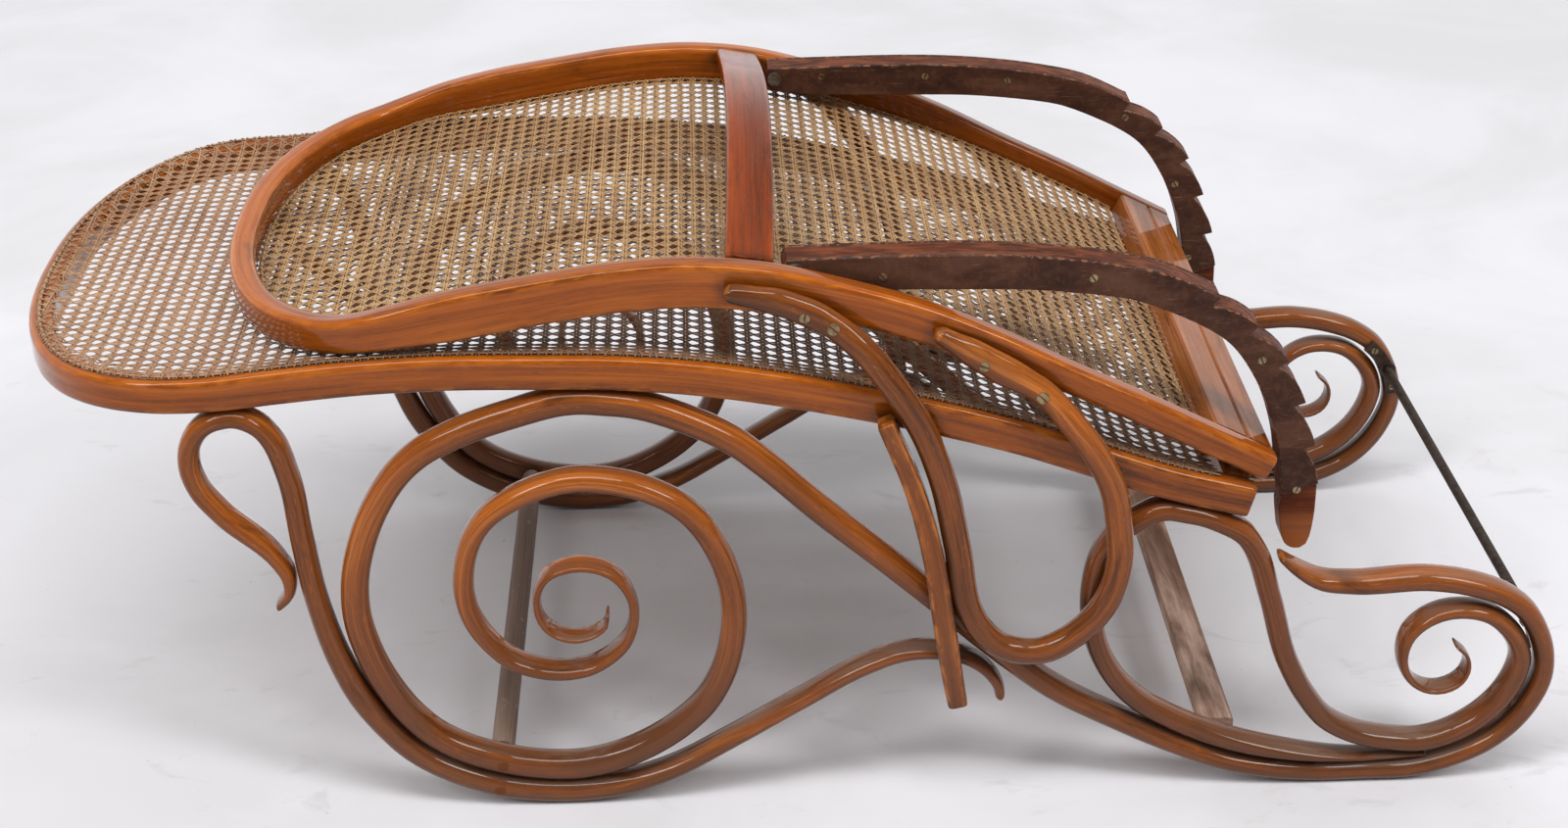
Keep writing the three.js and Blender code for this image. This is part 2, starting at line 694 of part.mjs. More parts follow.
function loopStations(side) {
  const footY = backHalfWidth + touchGap + footThickness / 2;
  const outY = rockerHalfSpacing + memberWidth / 2 + runningGap + loopDiameter / 2;
  const knots = loopShares.map(([x, z, out]) => new THREE.Vector3(
    loopX + x * loopReach, side * THREE.MathUtils.lerp(footY, outY, out), loopFloor + z * loopDrop,
  ));
  const curve = new THREE.CatmullRomCurve3(knots, false, 'centripetal');
  const count = (knots.length - 1) * densePerSpan;
  const points = curve.getPoints(count);
  const across = new THREE.Vector3(0, 1, 0);
  return thinned(points).map((i) => {
    const knot = Math.min(Math.floor(i / densePerSpan), loopShares.length - 2);
    const share = i / densePerSpan - knot;
    const out = THREE.MathUtils.lerp(loopShares[knot][2], loopShares[knot + 1][2], share);
    const t = tangentAt(points, i).setY(0).normalize();
    const ends = Math.min(i, count - i) / (2 * densePerSpan);
    const taper = THREE.MathUtils.lerp(footTipShare, 1, Math.min(1, ends));
    return {
      place: points[i],
      u: across,
      v: t.cross(across),
      hu: THREE.MathUtils.lerp(footThickness, loopDiameter, out) / 2,
      hv: (THREE.MathUtils.lerp(footWidth, loopDiameter, out) / 2) * taper,
    };
  });
}

// The bar beside the front strand of the loop.
const barShares = [
  [0.394, 0.666, 0.85], [0.453, 0.525, 0.9], [0.5075, 0.35, 1], [0.543, 0.16, 1.08],
  [0.573, -0.034, 1.08], [0.5955, -0.15, 0.95],
];

function makeArmrest(name, side) {
  addPiece(`armrest_loop_${name}`, sweep(loopStations(side), ovalSection(8, 2.1)), 'beech');
  const y = side * (rockerHalfSpacing + memberWidth / 2 + runningGap + loopDiameter / 2);
  const knots = barShares.map(([x, z, t]) => [
    loopX + x * loopReach, loopFloor + z * loopDrop, barWidth * t,
  ]);
  const { points, thickness } = denseCurve(knots, y);
  const across = new THREE.Vector3(0, 1, 0);
  const stations = thinned(points).map((i) => ({
    place: points[i],
    u: across,
    v: tangentAt(points, i).cross(across).normalize(),
    hu: barThickness / 2,
    hv: thickness[i] / 2,
  }));
  addPiece(`armrest_bar_${name}`, sweep(stations, railSection(railEdge / 2)), 'beech');
}

// Toothed stay: outline in its own frame, pivot at the origin, shares of its reach and drop.
const stayBackShares = [
  [0.93, -0.85], [0.931, -0.8], [0.918, -0.66], [0.906, -0.574], [0.88, -0.46], [0.836, -0.33],
  [0.787, -0.245], [0.716, -0.181], [0.65, -0.135], [0.578, -0.105], [0.411, -0.076],
  [0.22, -0.07], [0.06, -0.062],
];
const stayEndShares = [[-0.008, -0.045], [-0.022, -0.005], [-0.014, 0.035]];
const stayEdgeShares = [
  [0.035, 0.036], [0.273, 0.04], [0.4, 0.032], [0.519, 0.013], [0.62, -0.016], [0.717, -0.06],
  [0.784, -0.12], [0.8575, -0.216], [0.925, -0.347], [0.961, -0.488], [0.987, -0.638],
  [0.9985, -0.76],
];
const stayTipShares = [
  [1, -0.86], [0.997, -0.94], [0.988, -0.99], [0.967, -1], [0.945, -0.975], [0.936, -0.92],
];

function spline2(shares) {
  const points = shares.map(([x, z]) => new THREE.Vector2(x * stayReach, z * stayDrop));
  return new THREE.SplineCurve(points);
}

// The toothed edge: straight steps in, rounded backs out to the next tooth.
const toothBackShares = [[0.3, 0.5], [0.6, 0.83], [0.85, 0.97]];

function toothedEdge(depth) {
  const edge = spline2(stayEdgeShares);
  const length = edge.getLength();
  const outline = [];
  const plainSteps = 7;
  for (let i = 0; i < plainSteps; i += 1) {
    outline.push(edge.getPointAt(((i / plainSteps) * firstNotch) / length));
  }
  for (let k = 0; k < notchCount; k += 1) {
    const at = (firstNotch + k * notchPitch) / length;
    const next = Math.min(1, (firstNotch + (k + 1) * notchPitch) / length);
    const tip = edge.getPointAt(at);
    const t = edge.getTangentAt(at);
    const foot = tip.clone().add(new THREE.Vector2(t.y, -t.x).multiplyScalar(depth));
    outline.push(tip, foot);
    for (const [alongShare, riseShare] of toothBackShares) {
      const place = THREE.MathUtils.lerp(at, next, alongShare);
      const inward = edge.getTangentAt(place);
      inward.set(inward.y, -inward.x).multiplyScalar(depth * (1 - riseShare));
      outline.push(edge.getPointAt(place).add(inward));
    }
  }
  outline.push(edge.getPointAt(1));
  return outline;
}

function stayOutline(depth, withTip) {
  const sample = (shares, count) => spline2(shares).getPoints(count);
  const edge = toothedEdge(depth);
  const tip = withTip ? sample(stayTipShares, 8) : [];
  const back = sample(withTip ? stayBackShares : stayBackShares.slice(1), 16);
  const end = sample(stayEndShares, 4);
  return [...edge, ...tip, ...back, ...end];
}

function slab(outline, yLow, yHigh) {
  const shape = new THREE.Shape(outline);
  const radius = pivotDiameter / 2 + boreGap;
  shape.holes.push(new THREE.Path(Array.from({ length: roundSides }, (_, i) => {
    const angle = (2 * Math.PI * i) / roundSides;
    return new THREE.Vector2(radius * Math.cos(angle), radius * Math.sin(angle));
  })));
  const geometry = new THREE.ExtrudeGeometry(shape, { depth: yHigh - yLow, bevelEnabled: false });
  geometry.rotateX(Math.PI / 2);
  geometry.translate(stayPivotX, yHigh, stayPivotHeight);
  return geometry;
}

const stayOuter = backInnerHalf - stayClearance;
const stayInner = stayOuter - 2 * (stayPlateThickness + touchGap) - stayWoodWidth;
const roundSides = 16;

function makeStay(name, side) {
  const layers = [
    [`ratchet_plate_outer_${name}`, 0, stayPlateThickness, false],
    [`ratchet_stay_${name}`, stayPlateThickness + touchGap, stayWoodWidth, true],
    [`ratchet_plate_inner_${name}`, stayPlateThickness + stayWoodWidth + 2 * touchGap,
      stayPlateThickness, false],
  ];
  for (const [piece, inset, thickness, isWood] of layers) {
    const ys = [side * (stayOuter - inset), side * (stayOuter - inset - thickness)];
    const outline = stayOutline(isWood ? notchDepth + stayPlateProud : notchDepth, isWood);
    const material = isWood ? 'darkBeech' : 'iron';
    addPiece(piece, slab(outline, Math.min(...ys), Math.max(...ys)), material);
  }
  makeStayPivot(name, side);
}

// Pivot screw of a stay, with the spacer that holds the stay off the back rail.
function makeStayPivot(name, side) {
  const inward = new THREE.Vector3(0, -side, 0);
  const at = (y) => new THREE.Vector3(stayPivotX, side * y, stayPivotHeight);
  const railFace = backInnerHalf - touchGap;
  const length = railFace - stayInner + touchGap;
  const screw = solid(disc(at(railFace), inward, pivotDiameter, length, roundSides));
  const head = solid(disc(
    at(stayInner - touchGap), inward, pivotHeadDiameter, pivotHeadHeight, roundSides,
  ));
  const width = stayClearance - 2 * touchGap;
  const spacer = solid(disc(at(railFace), inward, spacerDiameter, width, roundSides));
  const bore = solid(disc(
    at(backInnerHalf), inward, pivotDiameter + 2 * boreGap, stayClearance, roundSides,
  ));
  addPiece(`stay_pivot_screw_${name}`, geometryOf(screw.add(head)), 'steel');
  addPiece(`stay_spacer_${name}`, geometryOf(spacer.subtract(bore)), 'steel');
}

// A cylinder that stands on a face whose outward direction is given.
function disc(place, outward, diameter, height, sides) {
  const geometry = new THREE.CylinderGeometry(diameter / 2, diameter / 2, height, sides);
  const turn = new THREE.Quaternion().setFromUnitVectors(new THREE.Vector3(0, 1, 0), outward);
  geometry.applyQuaternion(turn);
  const centre = place.clone().addScaledVector(outward, height / 2);
  return geometry.translate(centre.x, centre.y, centre.z);
}

function mergedGeometry(geometry) {
  const bare = geometry.clone();
  bare.deleteAttribute('normal');
  bare.deleteAttribute('uv');
  return mergeVertices(bare, mergeDistance);
}

function solid(geometry) {
  const merged = mergedGeometry(geometry);
  return new wasm.Manifold(new wasm.Mesh({
    numProp: 3,
    vertProperties: new Float32Array(merged.getAttribute('position').array),
    triVerts: new Uint32Array(merged.index.array),
  }));
}

function geometryOf(manifold) {
  const mesh = manifold.getMesh();
  const geometry = new THREE.BufferGeometry();
  geometry.setAttribute('position', new THREE.BufferAttribute(mesh.vertProperties, 3));
  return geometry.setIndex(new THREE.BufferAttribute(mesh.triVerts, 1));
}

function makeRockers(name, side) {
  const y = side * rockerHalfSpacing;
  addPiece(`scroll_rocker_${name}`, bentMember(mainMemberKnots(), y), 'beech');
  addPiece(`front_scroll_${name}`, bentMember(frontMemberKnots(), y), 'beech');
  addPiece(`rear_scroll_${name}`, bentMember(rearMemberKnots(), y), 'beech');
}

// Stretchers between the rockers' inner faces.
const memberInner = rockerHalfSpacing - memberWidth / 2;
const dowelDegrees = 245;
const stretcherRiseShare = 0.12;
const stretcherShare = 0.747;

function rodLike(place, radius, halfLength) {
  const start = new THREE.Vector3(place[0], -halfLength, place[1]);
  return disc(start, new THREE.Vector3(0, 1, 0), 2 * radius, 2 * halfLength, roundSides);
}

function makeStretchers() {
  const dowelPlace = polar(ringCentre, ringAt(dowelDegrees).radius, dowelDegrees);
  const halfLength = memberInner - touchGap;
  addPiece('front_stretcher_dowel', rodLike(dowelPlace, dowelDiameter / 2, halfLength), 'rawWood');
  addPiece('rear_stretcher_bar', crossPiece(
    along(stretcherShare), up(stretcherRiseShare), 0, stretcherWidth, stretcherThickness, halfLength,
  ), 'rawWood');
}

// Iron rod between the rear scrolls, in brackets on their inner faces.
const rodDegrees = 27;
const rodRadiusShare = 0.98;
const bracketDegrees = [8, 50];
const bracketSteps = 8;
const rodPlace = polar(rearCentre, rearScrollRadius * rodRadiusShare, rodDegrees);

function makeRod() {
  const halfLength = memberInner - 2 * touchGap;
  addPiece('ratchet_rod', rodLike(rodPlace, rodDiameter / 2, halfLength), 'iron');
  for (const [name, side] of [['left', -1], ['right', 1]]) {
    addPiece(`rod_bracket_${name}`, rodBracket(side), 'iron');
  }
}

function rodBracket(side) {
  const outer = memberInner - touchGap;
  const [from, to] = bracketDegrees;
  const stations = Array.from({ length: bracketSteps + 1 }, (_, i) => {
    const degrees = THREE.MathUtils.lerp(from, to, i / bracketSteps);
    const [x, z] = polar(rearCentre, rearScrollRadius * rodRadiusShare, degrees);
    const [outX, outZ] = polar([0, 0], 1, degrees);
    return {
      place: new THREE.Vector3(x, side * (outer - bracketThickness / 2), z),
      u: new THREE.Vector3(outX, 0, outZ),
      v: new THREE.Vector3(0, 1, 0),
      hu: bracketWidth / 2,
      hv: bracketThickness / 2,
    };
  });
  const [x, z] = rodPlace;
  const at = (y) => new THREE.Vector3(x, side * y, z);
  const inward = new THREE.Vector3(0, -side, 0);
  const boss = disc(
    at(outer - bracketThickness / 2), inward, bossDiameter, bracketThickness / 2 + bossHeight,
    roundSides,
  );
  const bore = disc(
    at(memberInner), inward, rodDiameter + 2 * boreGap, 2 * (bracketThickness + bossHeight),
    roundSides,
  );
  return geometryOf(solid(sweep(stations, boxSection)).add(solid(boss)).subtract(solid(bore)));
}

// Butt hinges: a leaf on the seat's rear rail, one under the back's end strip, and a pin.
const leafMiddle = backInnerHalf - hingeInset - leafLength / 2;

// Facing is 1 where the leaf lies on a face that looks up and -1 where it looks down.
function hingeLeaf(side, faceX, faceZ, slope, facing, isSeat) {
  const normal = new THREE.Vector3(-slope, 0, 1).normalize().multiplyScalar(facing);
  const away = new THREE.Vector3(-1, 0, -slope).normalize();
  const pin = new THREE.Vector3(hingeX, side * leafMiddle, hingeHeight);
  const above = pin.clone().sub(new THREE.Vector3(faceX, pin.y, faceZ)).dot(normal);
  const place = pin.clone()
    .addScaledVector(normal, touchGap + leafThickness / 2 - above)
    .addScaledVector(away, leafWidth / 2);
  const stations = [-1, 1].map((end) => ({
    place: place.clone().setY(pin.y + (end * leafLength) / 2),
    u: away,
    v: normal,
    hu: leafWidth / 2,
    hv: leafThickness / 2,
  }));
  let leaf = solid(sweep(stations, boxSection));
  const step = leafLength / knuckleCount;
  for (let k = 0; k < knuckleCount; k += 1) {
    const start = pin.clone().setY(pin.y - leafLength / 2 + k * step);
    const ring = (diameter, grow) => solid(disc(
      start.clone().setY(start.y - grow), new THREE.Vector3(0, 1, 0),
      diameter, step + 2 * grow, roundSides,
    ));
    leaf = (k % 2 === 0) === isSeat
      ? leaf.add(ring(barrelDiameter, -touchGap / 2))
      : leaf.subtract(ring(barrelDiameter + 2 * leafNotch, touchGap / 2));
  }
  const bore = disc(
    pin.clone().setY(pin.y - leafLength), new THREE.Vector3(0, 1, 0),
    pinDiameter + 2 * boreGap, 2 * leafLength, roundSides,
  );
  return geometryOf(leaf.subtract(solid(bore)));
}

function makeHinges() {
  const seatFaceX = seatRearX - leafWidth / 2;
  const seatSlope = slopeOf(seatMiddle, seatRearX);
  const seatFaceZ = seatMiddle(seatRearX) - (seatRearX - seatFaceX) * seatSlope
    + (seatRailDepth / 2) * Math.hypot(1, seatSlope);
  const strip = endStripPlace();
  const stripFaceZ = strip.z - (endRailDepth / 2) * Math.hypot(1, strip.slope);
  for (const [name, side] of [['left', -1], ['right', 1]]) {
    const seat = hingeLeaf(side, seatFaceX, seatFaceZ, seatSlope, 1, true);
    const back = hingeLeaf(side, strip.x, stripFaceZ, strip.slope, -1, false);
    addPiece(`hinge_seat_leaf_${name}`, seat, 'steel');
    addPiece(`hinge_back_leaf_${name}`, back, 'steel');
    const start = new THREE.Vector3(hingeX, side * leafMiddle - leafLength / 2, hingeHeight);
    addPiece(`hinge_pin_${name}`, disc(
      start, new THREE.Vector3(0, 1, 0), pinDiameter, leafLength, roundSides,
    ), 'steel');
  }
}

makeSeat();
makeBack();
makeStretchers();
makeRod();
makeHinges();
const sides = [['left', -1], ['right', 1]];
for (const [name, side] of sides) {
  makeRockers(name, side);
  makeArmrest(name, side);
  makeStay(name, side);
}

// The chair stands with the middle of its length over the origin.
const box = new THREE.Box3().setFromObject(chair);
chair.position.x = -(box.min.x + box.max.x) / 2;

export default chair;
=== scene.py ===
import math
from functools import reduce

import bpy
import numpy as np
from mathutils import Matrix, Vector
from mathutils.bvhtree import BVHTree
from mathutils.geometry import tessellate_polygon
from mathutils.kdtree import KDTree


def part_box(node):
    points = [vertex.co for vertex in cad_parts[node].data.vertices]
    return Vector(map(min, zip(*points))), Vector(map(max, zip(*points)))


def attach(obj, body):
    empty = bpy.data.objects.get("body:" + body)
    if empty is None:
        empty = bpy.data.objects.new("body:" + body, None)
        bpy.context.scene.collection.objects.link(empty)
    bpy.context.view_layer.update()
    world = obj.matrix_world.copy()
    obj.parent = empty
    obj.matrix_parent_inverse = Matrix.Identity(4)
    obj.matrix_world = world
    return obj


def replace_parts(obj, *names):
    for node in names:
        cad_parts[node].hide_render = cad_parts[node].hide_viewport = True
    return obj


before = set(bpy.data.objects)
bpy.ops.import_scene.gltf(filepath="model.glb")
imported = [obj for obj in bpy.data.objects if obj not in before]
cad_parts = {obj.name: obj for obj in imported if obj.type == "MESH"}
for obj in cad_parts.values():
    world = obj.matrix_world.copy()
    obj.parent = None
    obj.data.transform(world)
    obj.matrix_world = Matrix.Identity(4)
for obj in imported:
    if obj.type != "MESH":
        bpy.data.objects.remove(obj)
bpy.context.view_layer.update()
random = np.random.default_rng(11)
SHIFT = -0.070646                # from the record's X to places measured from the ring


def srgb(*values):
    """Linear colour of three 0 to 255 values."""
    shares = [v / 255 for v in values]
    return (*(v / 12.92 if v <= 0.04045 else ((v + 0.055) / 1.055) ** 2.4 for v in shares), 1.0)


# ---- node materials. Their shades are given as 0 to 255 values.

def scaled(colour, factor):
    return tuple(min(1, factor * v) for v in colour[:3]) + (1,)


class Tree:
    """Short calls for building the nodes of a material or of the world."""

    def __init__(self, owner):
        self.owner = owner
        owner.use_nodes = True
        self.tree = owner.node_tree
        self.tree.nodes.clear()

    def node(self, kind, inputs=None, **settings):
        made = self.tree.nodes.new("ShaderNode" + kind)
        for key, value in settings.items():
            setattr(made, key, value)
        for key, value in (inputs or {}).items():
            if isinstance(value, bpy.types.NodeSocket):
                self.tree.links.new(value, made.inputs[key])
            else:
                made.inputs[key].default_value = value
        return made

    def here(self):
        """The place on the object, in the shared frame."""
        return self.node("TexCoord").outputs["Object"]

    def attribute(self, name, output="Vector"):
        return self.node("Attribute", attribute_name=name).outputs[output]

    def noise(self, vector, scale, detail=3.0, rough=0.55, distortion=0.0, offset=(0, 0, 0)):
        """Noise of a vector stretched by three scales, about 0 to 1 round 0.5."""
        placed = self.node("Mapping", {"Vector": vector, "Scale": scale, "Location": offset}).outputs[0]
        return self.node("TexNoise", {
            "Vector": placed, "Scale": 1.0, "Detail": detail, "Roughness": rough, "Distortion": distortion,
        }).outputs["Fac"]

    def math(self, operation, a, b=None, clamp=False):
        inputs = {0: a} if b is None else {0: a, 1: b}
        return self.node("Math", inputs, operation=operation, use_clamp=clamp).outputs[0]

    def times(self, *factors):
        return reduce(lambda a, b: self.math("MULTIPLY", a, b), factors)

    def span(self, value, low, high, to_low=0.0, to_high=1.0, smooth=True):
        """Maps low..high to to_low..to_high and holds the ends."""
        return self.node("MapRange", {
            "Value": value, "From Min": low, "From Max": high, "To Min": to_low, "To Max": to_high,
        }, interpolation_type="SMOOTHSTEP" if smooth else "LINEAR").outputs[0]

    def ramp(self, value, stops):
        made = self.node("ValToRGB", {"Fac": value})
        points = made.color_ramp.elements
        while len(points) < len(stops):
            points.new(0.5)
        for point, (place, colour) in zip(points, stops):
            point.position = place
            point.color = colour
        return made.outputs["Color"]

    def mix(self, factor, a, b, blend="MIX"):
        inputs = {"Factor": factor, 6: a, 7: b}
        return self.node("Mix", inputs, data_type="RGBA", blend_type=blend).outputs[2]

    def part(self, vector, name):
        return self.node("SeparateXYZ", {0: vector}).outputs[name]

    def bump(self, height, distance, strength=1.0, normal=None):
        inputs = {"Height": height, "Distance": distance, "Strength": strength}
        return self.node("Bump", inputs if normal is None else {**inputs, "Normal": normal}).outputs[0]

    def finish(self, **inputs):
        names = {key.replace("_", " "): value for key, value in inputs.items()}
        shader = self.node("BsdfPrincipled", names)
        self.node("OutputMaterial", {"Surface": shader.outputs[0]})
        return self.owner


def grain_scales(axis):
    """Noise scales for grain that runs along one axis."""
    return lambda along, across: [along if k == axis else across for k in "XYZ"]


def polished_wood(name, dark, middle, light, own=True, grain_axis="X", coat=0.85, gloss=0.2, dirt_and_shade=1.0,
                  offset=0.0, calm=0.0, dusty=0.4, pale_tip=False, tack_line=False):
    """French-polished beech. own: the piece carries its unbent coordinates, else the CAD node's serve."""
    dark, middle, light = srgb(*dark), srgb(*middle), srgb(*light)
    t = Tree(bpy.data.materials.new(name))
    if own:
        place = t.attribute("grain")
        soil = t.attribute("soil")
        gap, up, edge = (t.part(soil, k) for k in "XYZ")
    else:
        place = t.here()
    long = grain_scales(grain_axis)
    shift = (offset, offset * 2.3, offset * 1.7)
    broad = t.noise(place, long(2.2, 34), 4, 0.6, 0.35, shift)
    flame = t.noise(place, long(5, 240), 4, 0.64, 0.4, shift)
    fibre = t.noise(place, long(14, 1100), 3, 0.6, 0.0, shift)
    tone = t.math("ADD", t.times(broad, 0.46), t.times(flame, 0.38))
    tone = t.math("ADD", tone, t.times(fibre, 0.16))
    colour = t.ramp(t.span(tone, 0.37 - calm, 0.65 + calm, smooth=False), [
        (0.0, dark), (0.3, tuple(0.45 * a + 0.55 * b for a, b in zip(dark, middle))),
        (0.58, middle), (1.0, light),
    ])
    # Short dark pores and the pale flecks of beech.
    pores = t.span(t.noise(place, long(65, 1500), 2, 0.5, 0.0, shift), 0.64, 0.72)
    colour = t.mix(t.times(pores, 0.42), colour, scaled(dark, 0.45))
    flecks = t.span(t.noise(place, long(110, 900), 1, 0.4, 0.0, (3 + offset, 1, 2)), 0.63, 0.74)
    colour = t.mix(t.times(flecks, 0.22), colour, light)
    height = t.part(t.here(), "Z")
    if own and not pale_tip:
        # Painted light: up-facing faces high on the chair are lightened, higher parts more, and down-facing
        # faces are darkened as painted shade.
        above = t.times(t.span(up, 0.1, 0.85), t.span(height, 0.08, 0.26))
        colour = t.mix(t.times(above, 0.8), colour, (1.3, 1.28, 1.12, 1.0), "MULTIPLY")
        colour = t.mix(t.span(height, 0.15, 0.34), colour, (1.1, 1.1, 1.0, 1.0), "MULTIPLY")
        colour = t.mix(t.span(up, 0.15, -0.6, 0.0, 0.6), colour, scaled(dark, 1.25))
    # Dark stain blots where old polish has gathered.
    blots = t.span(t.noise(place, long(7, 34), 4, 0.65, 0.8, (7 + offset, 3, 5)), 0.56, 0.74)
    colour = t.mix(t.times(blots, 0.62), colour, scaled(dark, 0.38))
    if pale_tip:
        bare = t.times(t.span(height, 0.255, 0.238), t.span(broad, 0.3, 0.55, 0.6, 1.0))
        colour = t.mix(bare, colour, srgb(158, 92, 52))
    else:
        # Darker towards the floor, in patches.
        lower_patches = t.span(t.noise(place, long(6, 28), 4, 0.62, 0.7, (4, 4, offset)), 0.26, 0.58)
        low = t.times(t.span(height, 0.26, 0.04), lower_patches)
        colour = t.mix(t.times(low, 0.8 * dirt_and_shade), colour, srgb(92, 57, 37))
    if tack_line:
        line = t.attribute("section")
        aside = t.math("ABSOLUTE", t.math("SUBTRACT", t.part(line, "Y"), 0.002))
        dots = t.span(t.noise(line, (150, 30, 30), 3, 0.7, 0.0), 0.46, 0.56)
        on_top = t.span(t.part(line, "Z"), 0.008, 0.012)
        colour = t.mix(t.times(t.span(aside, 0.0011, 0.0003), dots, on_top), colour, srgb(40, 22, 14))
    rubbed = t.noise(place, long(20, 60), 4, 0.6, 0.3, (1, 8, offset))
    rough = t.span(rubbed, 0.3, 0.75, gloss - 0.07, gloss + 0.16)
    if own:
        # Painted shade where the piece lies close to another, together with real dark stain at handled tips
        # and screwed feet.
        patchy = t.span(t.noise(place, long(16, 90), 3, 0.6, 0.4, (5, 5, offset)), 0.2, 0.52)
        shade_and_stain = t.times(gap, patchy)
        colour = t.mix(t.times(shade_and_stain, 0.62 * dirt_and_shade), colour, srgb(38, 22, 15))
        patchy = t.span(t.noise(place, long(9, 55), 4, 0.62, 0.6, (9, 2, offset)), 0.36, 0.66)
        dust = t.times(t.span(up, 0.55, 0.98), patchy, t.span(height, 0.3, 0.14, 0.2, 1.0))
        colour = t.mix(t.times(dust, dusty * dirt_and_shade), colour, srgb(128, 106, 93))
        rough = t.math("ADD", rough, t.times(t.math("MAXIMUM", shade_and_stain, dust), 0.3), clamp=True)
        patchy = t.span(t.noise(place, long(40, 160), 3, 0.6, 0.2, (2, 6, offset)), 0.42, 0.62)
        colour = t.mix(t.times(edge, patchy, 0.45), colour, scaled(light, 1.25))
    wave = t.bump(t.noise(place, long(18, 60), 2, 0.45), 0.0012, 0.35)
    normal = t.bump(t.math("ADD", fibre, t.times(pores, -0.6)), 0.00012, 0.5, wave)
    return t.finish(
        Base_Color=colour, Roughness=rough, Normal=normal, Specular_IOR_Level=0.02,
        Coat_Weight=coat, Coat_Roughness=0.05, Coat_IOR=1.4,
    )


def raw_wood(name, dark, light, grain_axis):
    t = Tree(bpy.data.materials.new(name))
    place = t.attribute("grain")
    long = grain_scales(grain_axis)
    fibre = t.noise(place, long(9, 700), 4, 0.65)
    broad = t.noise(place, long(3, 40), 3, 0.6, 0.6)
    tone = t.math("ADD", t.times(fibre, 0.5), t.times(broad, 0.5))
    colour = t.ramp(t.span(tone, 0.34, 0.66, smooth=False), [(0.0, srgb(*dark)), (1.0, srgb(*light))])
    scuff = t.span(t.noise(place, long(50, 120), 3, 0.6, 0.4), 0.6, 0.7)
    colour = t.mix(t.times(scuff, 0.4), colour, srgb(176, 158, 146))
    rough = t.span(fibre, 0.3, 0.7, 0.6, 0.85)
    return t.finish(Base_Color=colour, Roughness=rough, Normal=t.bump(fibre, 0.0004, 0.6))


def painted_plate(name):
    """Dark brown facing of the stays, with chips along the edges."""
    t = Tree(bpy.data.materials.new(name))
    place = t.attribute("grain")
    edge = t.part(t.attribute("soil"), "Z")
    fine = t.noise(place, (900, 900, 900), 3, 0.6)
    broad = t.noise(place, (14, 30, 40), 4, 0.6, 0.5)
    colour = t.ramp(t.span(broad, 0.32, 0.7), [
        (0.0, srgb(51, 26, 16)), (0.55, srgb(70, 40, 26)), (1.0, srgb(87, 55, 39)),
    ])
    scratch = t.span(t.noise(place, (60, 60, 1100), 2, 0.5, 0.6, (4, 1, 0)), 0.66, 0.74)
    colour = t.mix(t.times(scratch, 0.35), colour, srgb(150, 118, 96))
    chip = t.times(edge, t.span(t.noise(place, (160, 160, 160), 3, 0.6, 0.5), 0.5, 0.6))
    colour = t.mix(t.times(chip, 0.75), colour, srgb(148, 98, 68))
    rough = t.span(t.noise(place, (60, 60, 60), 3, 0.6), 0.3, 0.7, 0.5, 0.72)
    return t.finish(
        Base_Color=colour, Roughness=rough, Normal=t.bump(fine, 0.00015, 0.5), Specular_IOR_Level=0.22,
    )


def cane_material(name, pale, middle, dark, painted_shade_span=None):
    """The last argument gives the stretch along X, under the folded back, where shade is painted into the
    cane.
    """
    pale, middle, dark = srgb(*pale), srgb(*middle), srgb(*dark)
    t = Tree(bpy.data.materials.new(name))
    place = t.attribute("grain")
    spot = t.here()
    strand = t.attribute("strand", "Fac")
    stripe = t.noise(place, (20, 3500, 900), 2, 0.6)
    patch = t.noise(spot, (5, 5, 5), 4, 0.6, 0.4)
    tone = t.math("ADD", t.times(strand, 0.32), t.times(patch, 0.68))
    colour = t.ramp(t.span(tone, 0.2, 0.8, smooth=False), [(0.0, dark), (0.5, middle), (1.0, pale)])
    colour = t.mix(t.span(stripe, 0.52, 0.7, 0.0, 0.35), colour, dark)
    soot = t.span(t.noise(spot, (26, 26, 26), 4, 0.65, 0.3), 0.56, 0.72)
    colour = t.mix(t.times(soot, 0.16), colour, srgb(96, 68, 46))
    if painted_shade_span:
        # Painted shade on the seat cane where the folded back lies over it.
        colour = t.mix(t.span(t.part(spot, "X"), *painted_shade_span, 0.0, 0.6), colour, srgb(92, 64, 44))
    rough = t.span(stripe, 0.3, 0.7, 0.38, 0.6)
    return t.finish(Base_Color=colour, Roughness=rough, Normal=t.bump(stripe, 0.00008, 0.6))


def metal(name, dark, pale, rough_low, rough_high, metallic, rust, own=False):
    t = Tree(bpy.data.materials.new(name))
    place = t.attribute("grain") if own else t.here()
    broad = t.noise(place, (130, 130, 130), 4, 0.65, 0.4)
    colour = t.ramp(t.span(broad, 0.3, 0.7), [(0.0, srgb(*dark)), (1.0, srgb(*pale))])
    spots = t.span(t.noise(place, (420, 420, 420), 3, 0.6, 0.3, (3, 1, 4)), 0.52, 0.64)
    colour = t.mix(t.times(spots, rust), colour, srgb(104, 62, 38))
    fine = t.noise(place, (1600, 1600, 1600), 2, 0.6)
    rough = t.span(broad, 0.3, 0.7, rough_low, rough_high)
    return t.finish(
        Base_Color=colour, Roughness=rough, Metallic=metallic, Normal=t.bump(fine, 0.0001, 0.4),
    )


